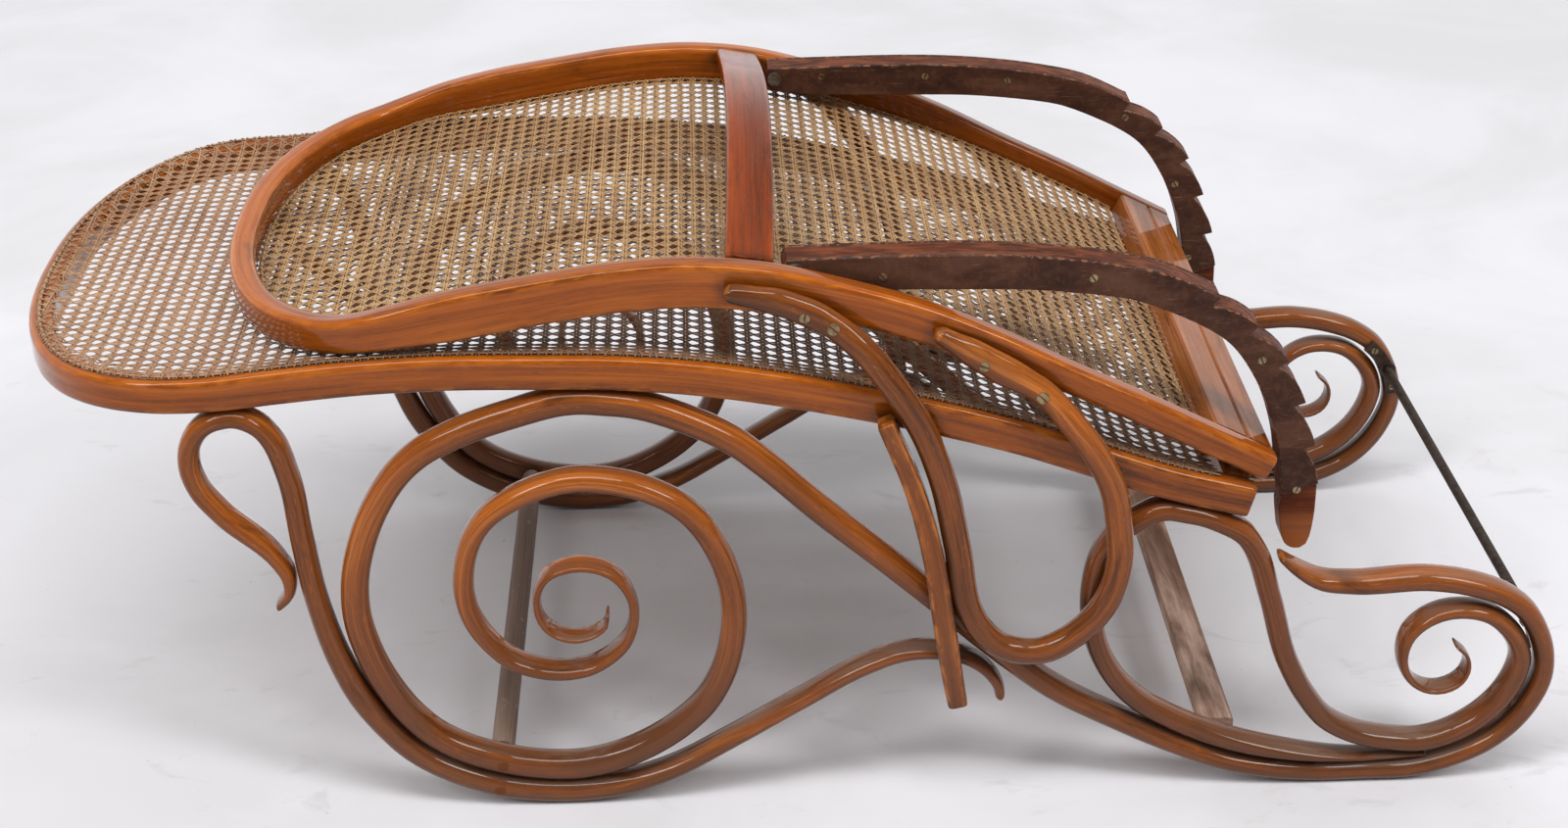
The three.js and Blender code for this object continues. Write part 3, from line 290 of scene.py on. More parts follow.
rocker_wood = polished_wood(
    "rocker_beech", (57, 29, 12), (141, 75, 28), (204, 119, 47),
    gloss=0.18, calm=0.03, dusty=0.7,
)
rail_wood = polished_wood(
    "rail_beech", (72, 34, 8), (148, 73, 11), (182, 102, 25),
    gloss=0.18, offset=2.0, calm=0.015,
)
back_rail_wood = polished_wood(
    "back_rail_beech", (72, 34, 8), (152, 75, 13), (184, 104, 30),
    gloss=0.18, offset=3.0, calm=0.015, tack_line=True,
)
crossbar_wood = polished_wood(
    "crossbar_beech", (61, 25, 8), (129, 51, 4), (161, 76, 15),
    gloss=0.16, coat=0.6, offset=9.0, calm=0.05,
)
board_wood = polished_wood(
    "board_beech", (101, 50, 20), (160, 91, 41), (193, 128, 79),
    own=False, grain_axis="Y", gloss=0.3, coat=0.55, offset=4.0,
)
stay_wood = polished_wood(
    "stay_beech", (57, 24, 12), (106, 49, 24), (136, 72, 40),
    gloss=0.34, coat=0.2, offset=6.0, dirt_and_shade=0.6, pale_tip=True,
)
plug_wood = polished_wood(
    "plug_beech", (89, 45, 23), (146, 81, 40), (180, 112, 64),
    gloss=0.4, coat=0.1, offset=8.0,
)
grey_wood = raw_wood("stretcher_wood", (89, 72, 61), (157, 129, 112), "X")
plate_paint = painted_plate("stay_plate_brown")
seat_cane_look = cane_material(
    "seat_cane_strip", (216, 178, 138), (187, 142, 105), (136, 93, 61), painted_shade_span=(-0.47, -0.36),
)
back_cane_look = cane_material(
    "back_cane_strip", (219, 183, 131), (187, 144, 98), (127, 90, 54),
)
iron = metal("dark_iron", (44, 36, 32), (78, 66, 58), 0.4, 0.65, 0.75, 0.35)
rod_iron = metal("rod_iron", (40, 33, 29), (86, 74, 66), 0.38, 0.6, 0.7, 0.3, own=True)
steel = metal("screw_steel", (104, 90, 64), (168, 152, 116), 0.26, 0.46, 0.9, 0.55, own=True)
hinge_steel = metal("hinge_steel", (96, 88, 78), (150, 142, 130), 0.35, 0.55, 0.9, 0.4)


# ---- meshes

SIDES = (("left", -1), ("right", 1))
RING_STEP = 0.006                # the longest stretch between the rings of a swept piece
HARD_CORNER = math.radians(34)   # in a plate's outline
SAME_PLANE = 0.9995              # cosine over which two faces lie in one plane
BALL_END = 0.95                  # length of a ball end, as a share of the half thickness
END_LEFT = 0.04                  # share of its size that a section keeps at the end face
CARVED_FOOT = 0.085              # length of the arm loops' carved feet, which are stained dark
STAINED_TIP = 0.016
EDGE = 0.8                       # wear of the parts that have no outline of their own

built = {}                       # finished pieces by the CAD node they replace


def placed(name, data):
    obj = bpy.data.objects.new(name, data)
    bpy.context.scene.collection.objects.link(obj)
    return obj


def lengths(vectors):
    return np.linalg.norm(vectors, axis=1)


def run_along(path):
    """How far along a path each of its points lies."""
    return np.concatenate([[0], np.cumsum(lengths(np.diff(path, axis=0)))])


def tube(rows, count):
    """The faces between rows of count points each."""
    i, j = np.meshgrid(np.arange(rows - 1), np.arange(count), indexing="ij")
    n = (j + 1) % count
    corners = [i * count + j, i * count + n, (i + 1) * count + n, (i + 1) * count + j]
    return np.stack(corners, -1).reshape(-1, 4)


def hermite(u, start, end, slope_start, slope_end):
    return (
        (2 * u ** 3 - 3 * u ** 2 + 1) * start + (u ** 3 - 2 * u ** 2 + u) * slope_start
        + (-2 * u ** 3 + 3 * u ** 2) * end + (u ** 3 - u ** 2) * slope_end
    )


def mesh_object(name, points, faces, material, body, **attributes):
    """A smooth object. attributes, per point: the vectors grain and section, a vector of painted shade
    between pieces (with real stain), upward look and edge wear, and the number strand.
    """
    mesh = bpy.data.meshes.new(name)
    points = np.asarray(points, np.float32)
    faces = [np.asarray(f, np.int32) for f in faces if len(f)]
    mesh.vertices.add(len(points))
    mesh.vertices.foreach_set("co", points.ravel())
    corner_counts = np.concatenate([np.full(len(f), f.shape[1], np.int32) for f in faces])
    mesh.loops.add(int(corner_counts.sum()))
    mesh.loops.foreach_set("vertex_index", np.concatenate([f.ravel() for f in faces]))
    mesh.polygons.add(len(corner_counts))
    starts = np.concatenate([[0], np.cumsum(corner_counts)[:-1]]).astype(np.int32)
    mesh.polygons.foreach_set("loop_start", starts)
    mesh.polygons.foreach_set("use_smooth", np.full(len(corner_counts), True))
    mesh.update(calc_edges=True)
    mesh.validate()
    for key, values in attributes.items():
        if values is not None:
            kind, field = ("FLOAT", "value") if key == "strand" else ("FLOAT_VECTOR", "vector")
            layer = mesh.attributes.new(key, kind, "POINT")
            layer.data.foreach_set(field, np.asarray(values, np.float32).ravel())
    mesh.materials.append(material)
    obj = placed(name, mesh)
    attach(obj, body)
    return obj


def cad_mesh(node):
    """Welded corners and triangles of a CAD node, in the row frame."""
    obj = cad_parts[node]
    mesh = obj.data
    points = np.empty(len(mesh.vertices) * 3, np.float32)
    mesh.vertices.foreach_get("co", points)
    place = np.array(obj.matrix_world)
    points = points.reshape(-1, 3) @ place[:3, :3].T + place[:3, 3]
    mesh.calc_loop_triangles()
    triangles = np.empty(len(mesh.loop_triangles) * 3, np.int32)
    mesh.loop_triangles.foreach_get("vertices", triangles)
    points, inverse = np.unique(np.round(points, 6), axis=0, return_inverse=True)
    return points, inverse.ravel()[triangles.reshape(-1, 3)]


def near_tree(points):
    tree = KDTree(len(points))
    for i, p in enumerate(points):
        tree.insert(p, i)
    tree.balance()
    return tree


def ray_tree(node):
    mesh = built[node]["object"].data
    return BVHTree.FromPolygons([v.co for v in mesh.vertices], [tuple(p.vertices) for p in mesh.polygons])


def round_order(points):
    """The points of one ring, in their order round it."""
    d = points - points.mean(0)
    axes = np.linalg.svd(d)[2]
    return points[np.argsort(np.arctan2(d @ axes[1], d @ axes[0]))]


def rings_of(node, sides, start_axis):
    """The rings of a swept CAD node in order, from the end that lies lowest on start_axis."""
    points, triangles = cad_mesh(node)
    near = [set() for _ in points]
    for a, b, c in triangles:
        near[a] |= {b, c}
        near[b] |= {a, c}
        near[c] |= {a, b}
    hubs = [i for i, ring in enumerate(near) if len(ring) == sides + 1]
    hub = min(hubs, key=lambda i: points[i][start_axis])
    faces = triangles[(triangles == hub).any(1)]
    p, q, r = (points[faces[:, k]] for k in range(3))
    normals = np.cross(q - p, r - p)
    normals /= lengths(normals)[:, None]
    alike = np.abs(normals @ normals.T) > SAME_PLANE
    ring = set(faces[alike[alike.sum(1).argmax()]].ravel().tolist())
    rings, seen = [], set(ring)
    while ring:
        here = round_order(points[sorted(ring)])
        if rings:
            last = rings[-1] - rings[-1].mean(0)
            turned = [np.roll(way, k, 0) for way in (here, here[::-1]) for k in range(len(here))]
            here = min(turned, key=lambda ring: ((ring - ring.mean(0) - last) ** 2).sum())
        rings.append(here)
        ring = {k for i in ring for k in near[i]} - seen
        seen |= ring
    return np.array([r for r in rings if len(r) == sides])


def section_axes(rings, first_axis):
    """Centre, half width and half depth of each ring. The width starts along first_axis."""
    sides = rings.shape[1]
    centre = rings.mean(1)
    d = rings[0] - centre[0]
    if sides == 10:
        k = int(np.abs(d[:, first_axis]).argmax())
        rings = np.roll(rings, -k, 1)
        a = (rings[:, 0] - rings[:, 5]) / 2
        b = (rings[:, 2] + rings[:, 3] - rings[:, 7] - rings[:, 8]) / 4
    else:
        middle = (d + np.roll(d, -1, 0)) / 2
        k = int(np.abs(middle[:, first_axis]).argmax())
        rings = np.roll(rings, -k, 1)
        a = (rings[:, 0] + rings[:, 1] - rings[:, 4] - rings[:, 5]) / 4
        b = (rings[:, 2] + rings[:, 3] - rings[:, 6] - rings[:, 7]) / 4
    return centre, a, b


def resampled(values, places, fine):
    """Catmull-Rom through values at places, read at fine."""
    slope = np.empty_like(values)
    step = np.diff(places)[:, None]
    chord = np.diff(values, axis=0) / step
    slope[0], slope[-1] = chord[0], chord[-1]
    slope[1:-1] = (chord[:-1] * step[1:] + chord[1:] * step[:-1]) / (step[1:] + step[:-1])
    i = np.clip(np.searchsorted(places, fine, side="right") - 1, 0, len(places) - 2)
    h = (places[i + 1] - places[i])[:, None]
    u = (fine - places[i])[:, None] / h
    return hermite(u, values[i], values[i + 1], h * slope[i], h * slope[i + 1])


def oval(power, count=24):
    """A section between an ellipse and its box. Sections give their outline, and 1 where it is an edge."""
    angle = np.arange(count) * 2 * np.pi / count
    c, s = np.cos(angle), np.sin(angle)
    unit = np.stack([np.sign(c) * np.abs(c) ** (2 / power), np.sign(s) * np.abs(s) ** (2 / power)], 1)
    return lambda *half: (unit, np.zeros(count))


def rounded_box(radius, per_corner=5, flats=3):
    """A box section with rounded corners and some points along its flats."""
    signs = np.array([(1, 1), (-1, 1), (-1, -1), (1, -1)])[:, None]
    angle = np.radians(90 * np.arange(4)[:, None] + 90 * np.arange(per_corner) / (per_corner - 1))
    arc = np.stack([np.cos(angle), np.sin(angle)], -1)
    share = np.arange(1, flats + 1)[:, None] / (flats + 1)
    rim = np.tile([0.35] + [1.0] * (per_corner - 2) + [0.35] + [0.0] * flats, 4)

    def shape(*half):
        rounds = (signs * (np.array(half) - radius) + radius * arc) / half
        last, following = rounds[:, -1:], np.roll(rounds[:, :1], -1, 0)
        return np.concatenate([rounds, last + (following - last) * share], 1).reshape(-1, 2), rim
    return shape


def swept(node, sides, start_axis, first_axis, material, body, shape, end=0.002, ball=False, swell=None):
    """A smooth piece along the rings of a CAD node, in whose place it is shown."""
    centre, a, b = section_axes(rings_of(node, sides, start_axis), first_axis)
    keep = np.concatenate([[True], lengths(np.diff(centre, axis=0)) > 1e-5])
    centre, a, b = centre[keep], a[keep], b[keep]
    places = run_along(centre)
    total = places[-1]
    fine = np.concatenate([
        np.linspace(p, q, max(2, int((q - p) / RING_STEP) + 1), endpoint=False)
        for p, q in zip(places[:-1], places[1:])
    ] + [[total]])
    # Worn or rounded ends: the last stretch shrinks towards the end face.
    half = np.minimum(lengths(a), lengths(b))
    reach_start, reach_end = (half[0] * BALL_END, half[-1] * BALL_END) if ball else (end, end)
    marks = np.sin(np.linspace(0, np.pi / 2, 6 if ball else 4))
    inner = fine[(fine > reach_start * 1.05) & (fine < total - reach_end * 1.05)]
    first = reach_start * (1 - marks[::-1])
    last = total - reach_end * (1 - marks)
    fine = np.concatenate([first, inner, last])
    c, wa, wb = (resampled(v, places, fine) for v in (centre, a, b))
    inset = np.zeros(len(fine))
    for reach, depth in ((reach_start, reach_start - fine), (reach_end, fine - (total - reach_end))):
        inset += reach * (1 - np.sqrt(1 - np.clip(depth / reach, 0, 1) ** 2))
    if swell is not None:
        wb = swell(fine, total, wb)
    la, lb = lengths(wa), lengths(wb)
    rings, grains, rims = [], [], []
    for k in range(len(fine)):
        unit, rim = shape(la[k], lb[k])
        ka = max(END_LEFT, 1 - inset[k] / la[k])
        kb = max(END_LEFT, 1 - inset[k] / lb[k])
        rings.append(c[k] + np.outer(unit[:, 0] * ka, wa[k]) + np.outer(unit[:, 1] * kb, wb[k]))
        across, deep = unit[:, 0] * ka * la[k], unit[:, 1] * kb * lb[k]
        grains.append(np.stack([np.full(len(unit), fine[k]), across, deep], 1))
        rims.append(rim if inset[k] == 0 else np.maximum(rim, EDGE))
    count = len(unit)
    points = np.concatenate(rings)
    points[:, 2] = np.maximum(points[:, 2], 0.0)
    grain = np.concatenate(grains)
    section = np.concatenate([grain, [[fine[0], 0, 0], [fine[-1], 0, 0]]])
    offset = random.random(3) * (9, 2, 2)
    grain = grain + offset
    quads = tube(len(rings), count)
    points = np.concatenate([points, [c[0], c[-1]]])
    grain = np.concatenate([grain, [[fine[0], 0, 0] + offset, [fine[-1], 0, 0] + offset]])
    base = len(rings) * count
    j = np.arange(count)
    caps = np.concatenate([
        np.stack([np.full(count, base), (j + 1) % count, j], 1),
        np.stack([np.full(count, base + 1), base - count + j, base - count + (j + 1) % count], 1),
    ])
    # Faces look outward.
    v = points[quads[:, 0]] - points[quads[:, 2]]
    w = points[quads[:, 1]] - points[quads[:, 3]]
    middle = points[quads].mean(1)
    spine = np.repeat(c[:-1], count, 0)
    if (np.cross(v, w) * (middle - spine)).sum() < 0:
        quads, caps = quads[:, ::-1], caps[:, ::-1]
    soil = np.outer(np.concatenate([*rims, [EDGE, EDGE]]), (0, 0, 1))
    # Handled tips and screwed feet are stained dark.
    stain = CARVED_FOOT if swell is not None else STAINED_TIP
    depth = np.minimum(section[:, 0], total - section[:, 0])
    stained = np.clip(1 - depth / stain, 0, 1) * (0.9 if ball else 0.3)
    built[node] = dict(
        points=points, faces=[quads, caps], grain=grain, soil=soil, material=material, body=body,
        section=section, stained=stained,
    )


def plate(node, material, body, edge=0.0007, parts=4):
    """A flat CAD piece rebuilt from its outline: smooth runs between its corners, and softened edges."""
    points, triangles = cad_mesh(node)
    low, high = points[:, 1].min(), points[:, 1].max()
    top = np.abs(points[:, 1] - high) < 1e-5
    flat = triangles[top[triangles].all(1)]
    edges = np.stack([flat, np.roll(flat, -1, 1)], -1).reshape(-1, 2).tolist()
    edges = dict.fromkeys(tuple(e) for e in edges)
    after = {p: q for p, q in edges if (q, p) not in edges}
    loops = []
    while after:
        loop = [next(iter(after))]
        while loop[-1] in after:
            loop.append(after.pop(loop[-1]))
        loops.append(points[loop[:-1]][:, [0, 2]])
    smooth_loops = []
    for loop in loops:
        d_in = loop - np.roll(loop, 1, 0)
        d_out = np.roll(loop, -1, 0) - loop
        turned = d_in[:, 0] * d_out[:, 1] - d_in[:, 1] * d_out[:, 0]
        turn = np.abs(np.arctan2(turned, (d_in * d_out).sum(1)))
        corner = turn > HARD_CORNER
        n = len(loop)
        out = []
        for i in range(n):
            p0, p1, p2, p3 = (loop[(i + k) % n] for k in (-1, 0, 1, 2))
            if corner[i]:
                p0 = 2 * p1 - p2
            if corner[(i + 1) % n]:
                p3 = 2 * p2 - p1
            chord = np.linalg.norm(p2 - p1)
            slopes = [(p2 - p0) / 2, (p3 - p1) / 2]
            slopes = [m * min(1, chord / max(1e-9, np.linalg.norm(m))) for m in slopes]
            pieces = parts if chord > 0.003 else 1
            out += [hermite(k / pieces, p1, p2, *slopes) for k in range(pieces)]
        smooth_loops.append(np.array(out))
    # Twice the area, with the sign of the way round.
    areas = [
        (x * np.roll(z, -1) - z * np.roll(x, -1)).sum() for x, z in (loop.T for loop in smooth_loops)
    ]
    outer = int(np.argmax(np.abs(areas)))
    all_points, faces, caps = [], [], {0: [], 3: []}
    start = 0
    levels = [(high, edge), (high - edge, 0.0), (low + edge, 0.0), (low, edge)]
    for index, loop in enumerate(smooth_loops):
        if (areas[index] > 0) != (index == outer):
            loop = loop[::-1]
        t = np.roll(loop, -1, 0) - np.roll(loop, 1, 0)
        t /= np.maximum(lengths(t), 1e-9)[:, None]
        inward = np.stack([-t[:, 1], t[:, 0]], 1)
        n = len(loop)
        for level, (y, inset) in enumerate(levels):
            flat = loop + inward * inset
            all_points.append(np.stack([flat[:, 0], np.full(n, y), flat[:, 1]], 1))
            if level in caps:
                caps[level].append([Vector((p[0], p[1], 0)) for p in flat])
        j = np.arange(n)
        for level in range(len(levels) - 1):
            a, b = start + level * n, start + (level + 1) * n
            faces.append(np.stack([a + j, a + (j + 1) % n, b + (j + 1) % n, b + j], 1))
        start += len(levels) * n
    points = np.concatenate(all_points)
    triangles = []
    for level in caps:
        lookup = []
        start = 0
        for loop in smooth_loops:
            lookup += range(start + level * len(loop), start + (level + 1) * len(loop))
            start += len(levels) * len(loop)
        triangles += [[lookup[k] for k in t] for t in tessellate_polygon(caps[level])]
    triangles = np.array(triangles)
    p, q, r = (points[triangles[:, k]] for k in range(3))
    n = np.cross(q - p, r - p)
    is_high = p[:, 1] > (low + high) / 2
    wrong = (n[:, 1] > 0) != is_high
    triangles[wrong] = triangles[wrong][:, ::-1]
    grain = points + random.random(3)
    # The flat faces have corners of their own, so that the wear stays at the edges.
    inside, spread = len(points), triangles.ravel()
    triangles = np.arange(len(spread)).reshape(-1, 3) + inside
    built[node] = dict(
        points=np.concatenate([points, points[spread]]), faces=[np.concatenate(faces), triangles],
        grain=np.concatenate([grain, grain[spread]]), material=material, body=body, sharp=True,
        soil=np.outer([1.0] * inside + [0.1] * len(spread), (0, 0, 1)),
    )


# ---- the bent and swept pieces

def carved_feet(fine, total, wb):
    """The arm loops swell to flat carved feet where they are screwed to the back."""
    depth = np.minimum(fine, total - fine)
    grow = 1 + 0.42 * np.clip(1 - depth / CARVED_FOOT, 0, 1) ** 0.7 * np.clip(depth / 0.006, 0.3, 1)
    knobs = 1 + 0.05 * np.sin(fine * 190) * np.clip(1 - depth / 0.1, 0, 1)
    return wb * (grow * knobs)[:, None]


rail = rounded_box(0.0052)
for side, _ in SIDES:
    for part in ("scroll_rocker", "front_scroll", "rear_scroll"):
        swept(f"{part}_{side}", 10, 0, 1, rocker_wood, "base", oval(2.35), ball=True)
    swept(
        f"armrest_loop_{side}", 8, 0, 1, rocker_wood, "backrest", oval(2.1), ball=True, swell=carved_feet,
    )
    swept(f"armrest_bar_{side}", 8, 2, 1, rocker_wood, "backrest", rounded_box(0.0035))
    plate(f"ratchet_stay_{side}", stay_wood, f"stay_{side}")
    plate(f"ratchet_plate_outer_{side}", plate_paint, f"stay_{side}")
    plate(f"ratchet_plate_inner_{side}", plate_paint, f"stay_{side}")
swept("seat_frame", 8, 1, 1, rail_wood, "base", rail, end=0.0015)
swept("back_frame", 8, 1, 1, back_rail_wood, "backrest", rail)
swept("back_crossbar", 8, 1, 0, crossbar_wood, "backrest", rounded_box(0.0035), end=0.0008)


def lathe(node, profile, count, material, body):
    """A round piece across the chair, in a CAD node's place.

    profile(half length) gives places and shares of the radius.
    """
    centre, size = middle_of(node)
    half, radius = size.y / 2, size.x / 2
    angle = np.arange(count) * 2 * np.pi / count
    ring = np.stack([np.cos(angle), np.zeros(count), np.sin(angle)], 1)
    points, grain = [], []
    for y, share in profile(half):
        r = radius * share
        points.append(ring * r + (centre.x, y, centre.z))
        grain.append(np.stack([np.full(count, y), r * np.cos(angle), r * np.sin(angle)], 1))
    points, rows = np.concatenate(points), len(points)
    caps = [np.arange(count)[None], np.arange(count)[::-1][None] + (rows - 1) * count]
    sides = tube(rows, count)[:, [0, 3, 2, 1]]
    built[node] = dict(
        points=points, faces=[sides, *caps], grain=np.concatenate(grain) + random.random(3),
        soil=np.zeros((len(points), 3)), material=material, body=body, sharp=True,
    )


def middle_of(node):
    low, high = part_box(node)
    return (Vector(low) + Vector(high)) / 2, Vector(high) - Vector(low)


def worn_dowel(half):
    ys = np.linspace(-half, half, 60)
    wear = [(y, 0.985 + 0.012 * math.sin(54 * y) * math.cos(31 * y)) for y in ys[1:-1]]
    return [(-half, 0.9)] + wear + [(half, 0.9)]


def threaded(half, pitch=0.0031):
    profile = []
    y = -half
    while y < half:
        profile += [(y, 0.9), (min(half, y + pitch * 0.3), 1), (min(half, y + pitch * 0.7), 1)]
        y += pitch
    return profile + [(half, 0.9)]


lathe("front_stretcher_dowel", worn_dowel, 32, grey_wood, "base")
lathe("ratchet_rod", threaded, 24, rod_iron, "base")


# ---- painted shade where pieces lie close

SHADED_GAP = 0.0105               # between the points of two pieces
SHADE_BLEND = 0.0075
SEARCH = 0.012


def set_soil():
    """Painted shade: a piece is darkened where it comes closer to another than the gap set above."""
    trees = {name: near_tree(piece["points"]) for name, piece in built.items()}
    for name, piece in built.items():
        points = piece["points"]
        close = np.full(len(points), 1.0)
        for other, tree in trees.items():
            if other != name:
                low = built[other]["points"].min(0) - SEARCH
                high = built[other]["points"].max(0) + SEARCH
                for i in np.nonzero(((points > low) & (points < high)).all(1))[0]:
                    close[i] = min(close[i], tree.find(points[i])[2])
        piece["soil"][:, 0] = np.clip((SHADED_GAP - close) / SHADE_BLEND, 0, 1)


set_soil()
# Real dark stain at tips and feet goes into the same channel as the painted shade.
for piece in built.values():
    if "stained" in piece:
        piece["soil"][:, 0] = np.maximum(piece["soil"][:, 0], piece["stained"])

for name, piece in built.items():
    obj = mesh_object(
        name + "_finished", piece["points"], piece["faces"], piece["material"], piece["body"],
        grain=piece["grain"], soil=piece["soil"], section=piece.get("section"),
    )
    # How far each point looks up.
    piece["soil"][:, 1] = [v.normal.z for v in obj.data.vertices]
    soil = piece["soil"].astype(np.float32).ravel()
    obj.data.attributes["soil"].data.foreach_set("vector", soil)
    if piece.get("sharp"):
        obj.data.set_sharp_from_angle(angle=math.radians(40))
    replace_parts(obj, name)
    piece["object"] = obj


# ---- woven cane

def cane_sheet(node):
    """Half width of a cane sheet along X and its middle height, read from its CAD node."""
    points, _ = cad_mesh(node)
    points = points[points[:, 1] > 0]
    xs = np.unique(np.round(points[:, 0], 5))
    slices = [points[np.abs(points[:, 0] - x) < 2e-5] for x in xs]
    half = np.array([p[:, 1].max() for p in slices])
    height = np.array([[(p[:, 2].min() + p[:, 2].max()) / 2] for p in slices])
    dense = np.linspace(xs[0], xs[-1], 700)
    sheet = resampled(height, xs, dense)[:, 0]
    return xs, half, lambda x: np.interp(x, dense, sheet)


GRID = 0.003                     # step of the grid on which the rail is felt
OVER_RAIL = 0.0004
UNDER_BACK = 0.0012


def laid_over(node, rail, inset, reach=0.014):
    """The outline and height of cane that is laid over its rail and held near the rail's outer edge."""
    xs, half, sheet = cane_sheet(node)
    centre, a, b = section_axes(rings_of(rail, 8, 1), 1)
    outward = a * np.sign((a[:, :2] * (centre[:, :2] - (0.1, 0))).sum(1))[:, None]
    edge = centre + outward * (1 - inset / lengths(outward)[:, None])
    places = run_along(edge)
    edge = resampled(edge, places, np.linspace(0, places[-1], 900))
    edge = edge[edge[:, 1] >= 0]
    edge = edge[np.argsort(edge[:, 0])]
    out_x, out_half = edge[:, 0], np.maximum.accumulate(edge[:, 1])
    out_half = np.where(out_x < 0, out_half, edge[:, 1])
    keep = out_x < xs[-1]
    out_x, out_half = np.append(out_x[keep], xs[-1]), np.append(out_half[keep], out_half[keep][-1])
    under, above = ray_tree(rail), ray_tree("back_frame")
    gx = np.arange(out_x[0] - GRID, xs[-1] + 2 * GRID, GRID)
    gy = np.arange(0, out_half.max() + 2 * GRID, GRID)
    rise = np.full((len(gx), len(gy)), np.nan)
    room = np.full((len(gx), len(gy)), 1.0)
    for i, x in enumerate(gx):
        base = float(sheet(x))
        for j, y in enumerate(gy):
            hit = under.ray_cast(Vector((x, y, base + 0.05)), Vector((0, 0, -1)), 0.08)[0]
            if hit is not None:
                rise[i, j] = hit.z - base + OVER_RAIL
            over = above.ray_cast(Vector((x, y, base - 0.004)), Vector((0, 0, 1)), 0.06)[0]
            if over is not None:
                room[i, j] = over.z - base
    on_rail = np.argwhere(~np.isnan(rise))
    rim = near_tree([(gx[i], gy[j], 0) for i, j in on_rail])
    for i, j in np.argwhere(np.isnan(rise)):
        _, n, gap = rim.find((gx[i], gy[j], 0))
        rise[i, j] = rise[tuple(on_rail[n])] * math.exp(-(gap / reach) ** 2)
    rise = np.minimum(rise, room - UNDER_BACK)

    def z_at(x, y):
        x, y = np.broadcast_arrays(np.asarray(x, float), np.abs(np.asarray(y, float)))
        u = np.clip((x - gx[0]) / GRID, 0, len(gx) - 1.001)
        v = np.clip(y / GRID, 0, len(gy) - 1.001)
        i, j = u.astype(int), v.astype(int)
        u, v = u - i, v - j
        lift = (
            rise[i, j] * (1 - u) * (1 - v) + rise[i + 1, j] * u * (1 - v)
            + rise[i, j + 1] * (1 - u) * v + rise[i + 1, j + 1] * u * v
        )
        return sheet(x) + lift

    return out_x, out_half, z_at


def let_in(node):
    """The outline and height of cane that ends at the inner faces of its rails."""
    xs, half, sheet = cane_sheet(node)
    return xs, half, lambda x, y: sheet(x) + 0 * np.asarray(y)


STRAND = 0.00096                 # half width of a strand
THICK = 0.00020
PAIR = 0.00112                   # from the middle of two strands to each
LIFT = 0.00026                   # of a straight strand over the one that it crosses
CROSS_LIFT = 0.0005              # of a slanting strand
BINDER_IN = 0.0026               # from the edge of the cane to the middle of the strip round it
BINDER_UP = 0.0012
FREE = (0.36, 0.64)              # shares of the pitch at which a straight strand crosses nothing
BEYOND = 0.0006                  # how far slanting strands reach past the edge
LOOP_IN = (-0.0002, 0.0012, 0.0028, 0.0044, 0.0056)     # course of a small loop over that strip
LOOP_UP = (0.0003, 0.0019, 0.0022, 0.0018, 0.0004)


def straight(pitch, low, high, lifts):
    """Places along a straight strand, and how far it lies over the pairs that it crosses."""
    cells = np.arange(math.floor(low / pitch) - 1, math.ceil(high / pitch) + 1)
    at = (cells[:, None] + np.array([-PAIR / pitch, PAIR / pitch, *FREE])).ravel() * pitch
    use = (at > low) & (at < high)
    rise = np.tile([*lifts, 0, 0], len(cells))[use]
    return np.concatenate([[low], at[use], [high]]), np.concatenate([[0], rise, [0]])


def ribbons(name, paths, material, body):
    """One object of three-sided strips. Paths are (points, side vector or vectors, strand tone)."""
    points, quads, grain, tone = [], [], [], []
    start = 0
    for path, across, shade in paths:
        n = len(path)
        aside = np.asarray(across) * STRAND
        strip = [path - aside, path + (0, 0, THICK * 2), path + aside]
        points.append(np.stack(strip, 1).reshape(-1, 3))
        offset = random.random() * 3
        g = np.zeros((n, 3, 3))
        g[:, :, 0] = run_along(path)[:, None] + offset
        g[:, 0, 1], g[:, 2, 1] = -STRAND, STRAND
        g[:, 1, 2] = THICK
        grain.append((g + (0, offset, 0)).reshape(-1, 3))
        tone.append(np.full(n * 3, shade))
        i = np.arange(n - 1)[:, None] * 3 + start
        a = np.array([[0, 1, 4, 3], [1, 2, 5, 4], [2, 0, 3, 5]])
        quads.append((i[:, :, None] + a[None]).reshape(-1, 4))
        start += n * 3
    obj = mesh_object(
        name, np.concatenate(points), [np.concatenate(quads)], material, body,
        grain=np.concatenate(grain), strand=np.concatenate(tone),
    )
    return obj


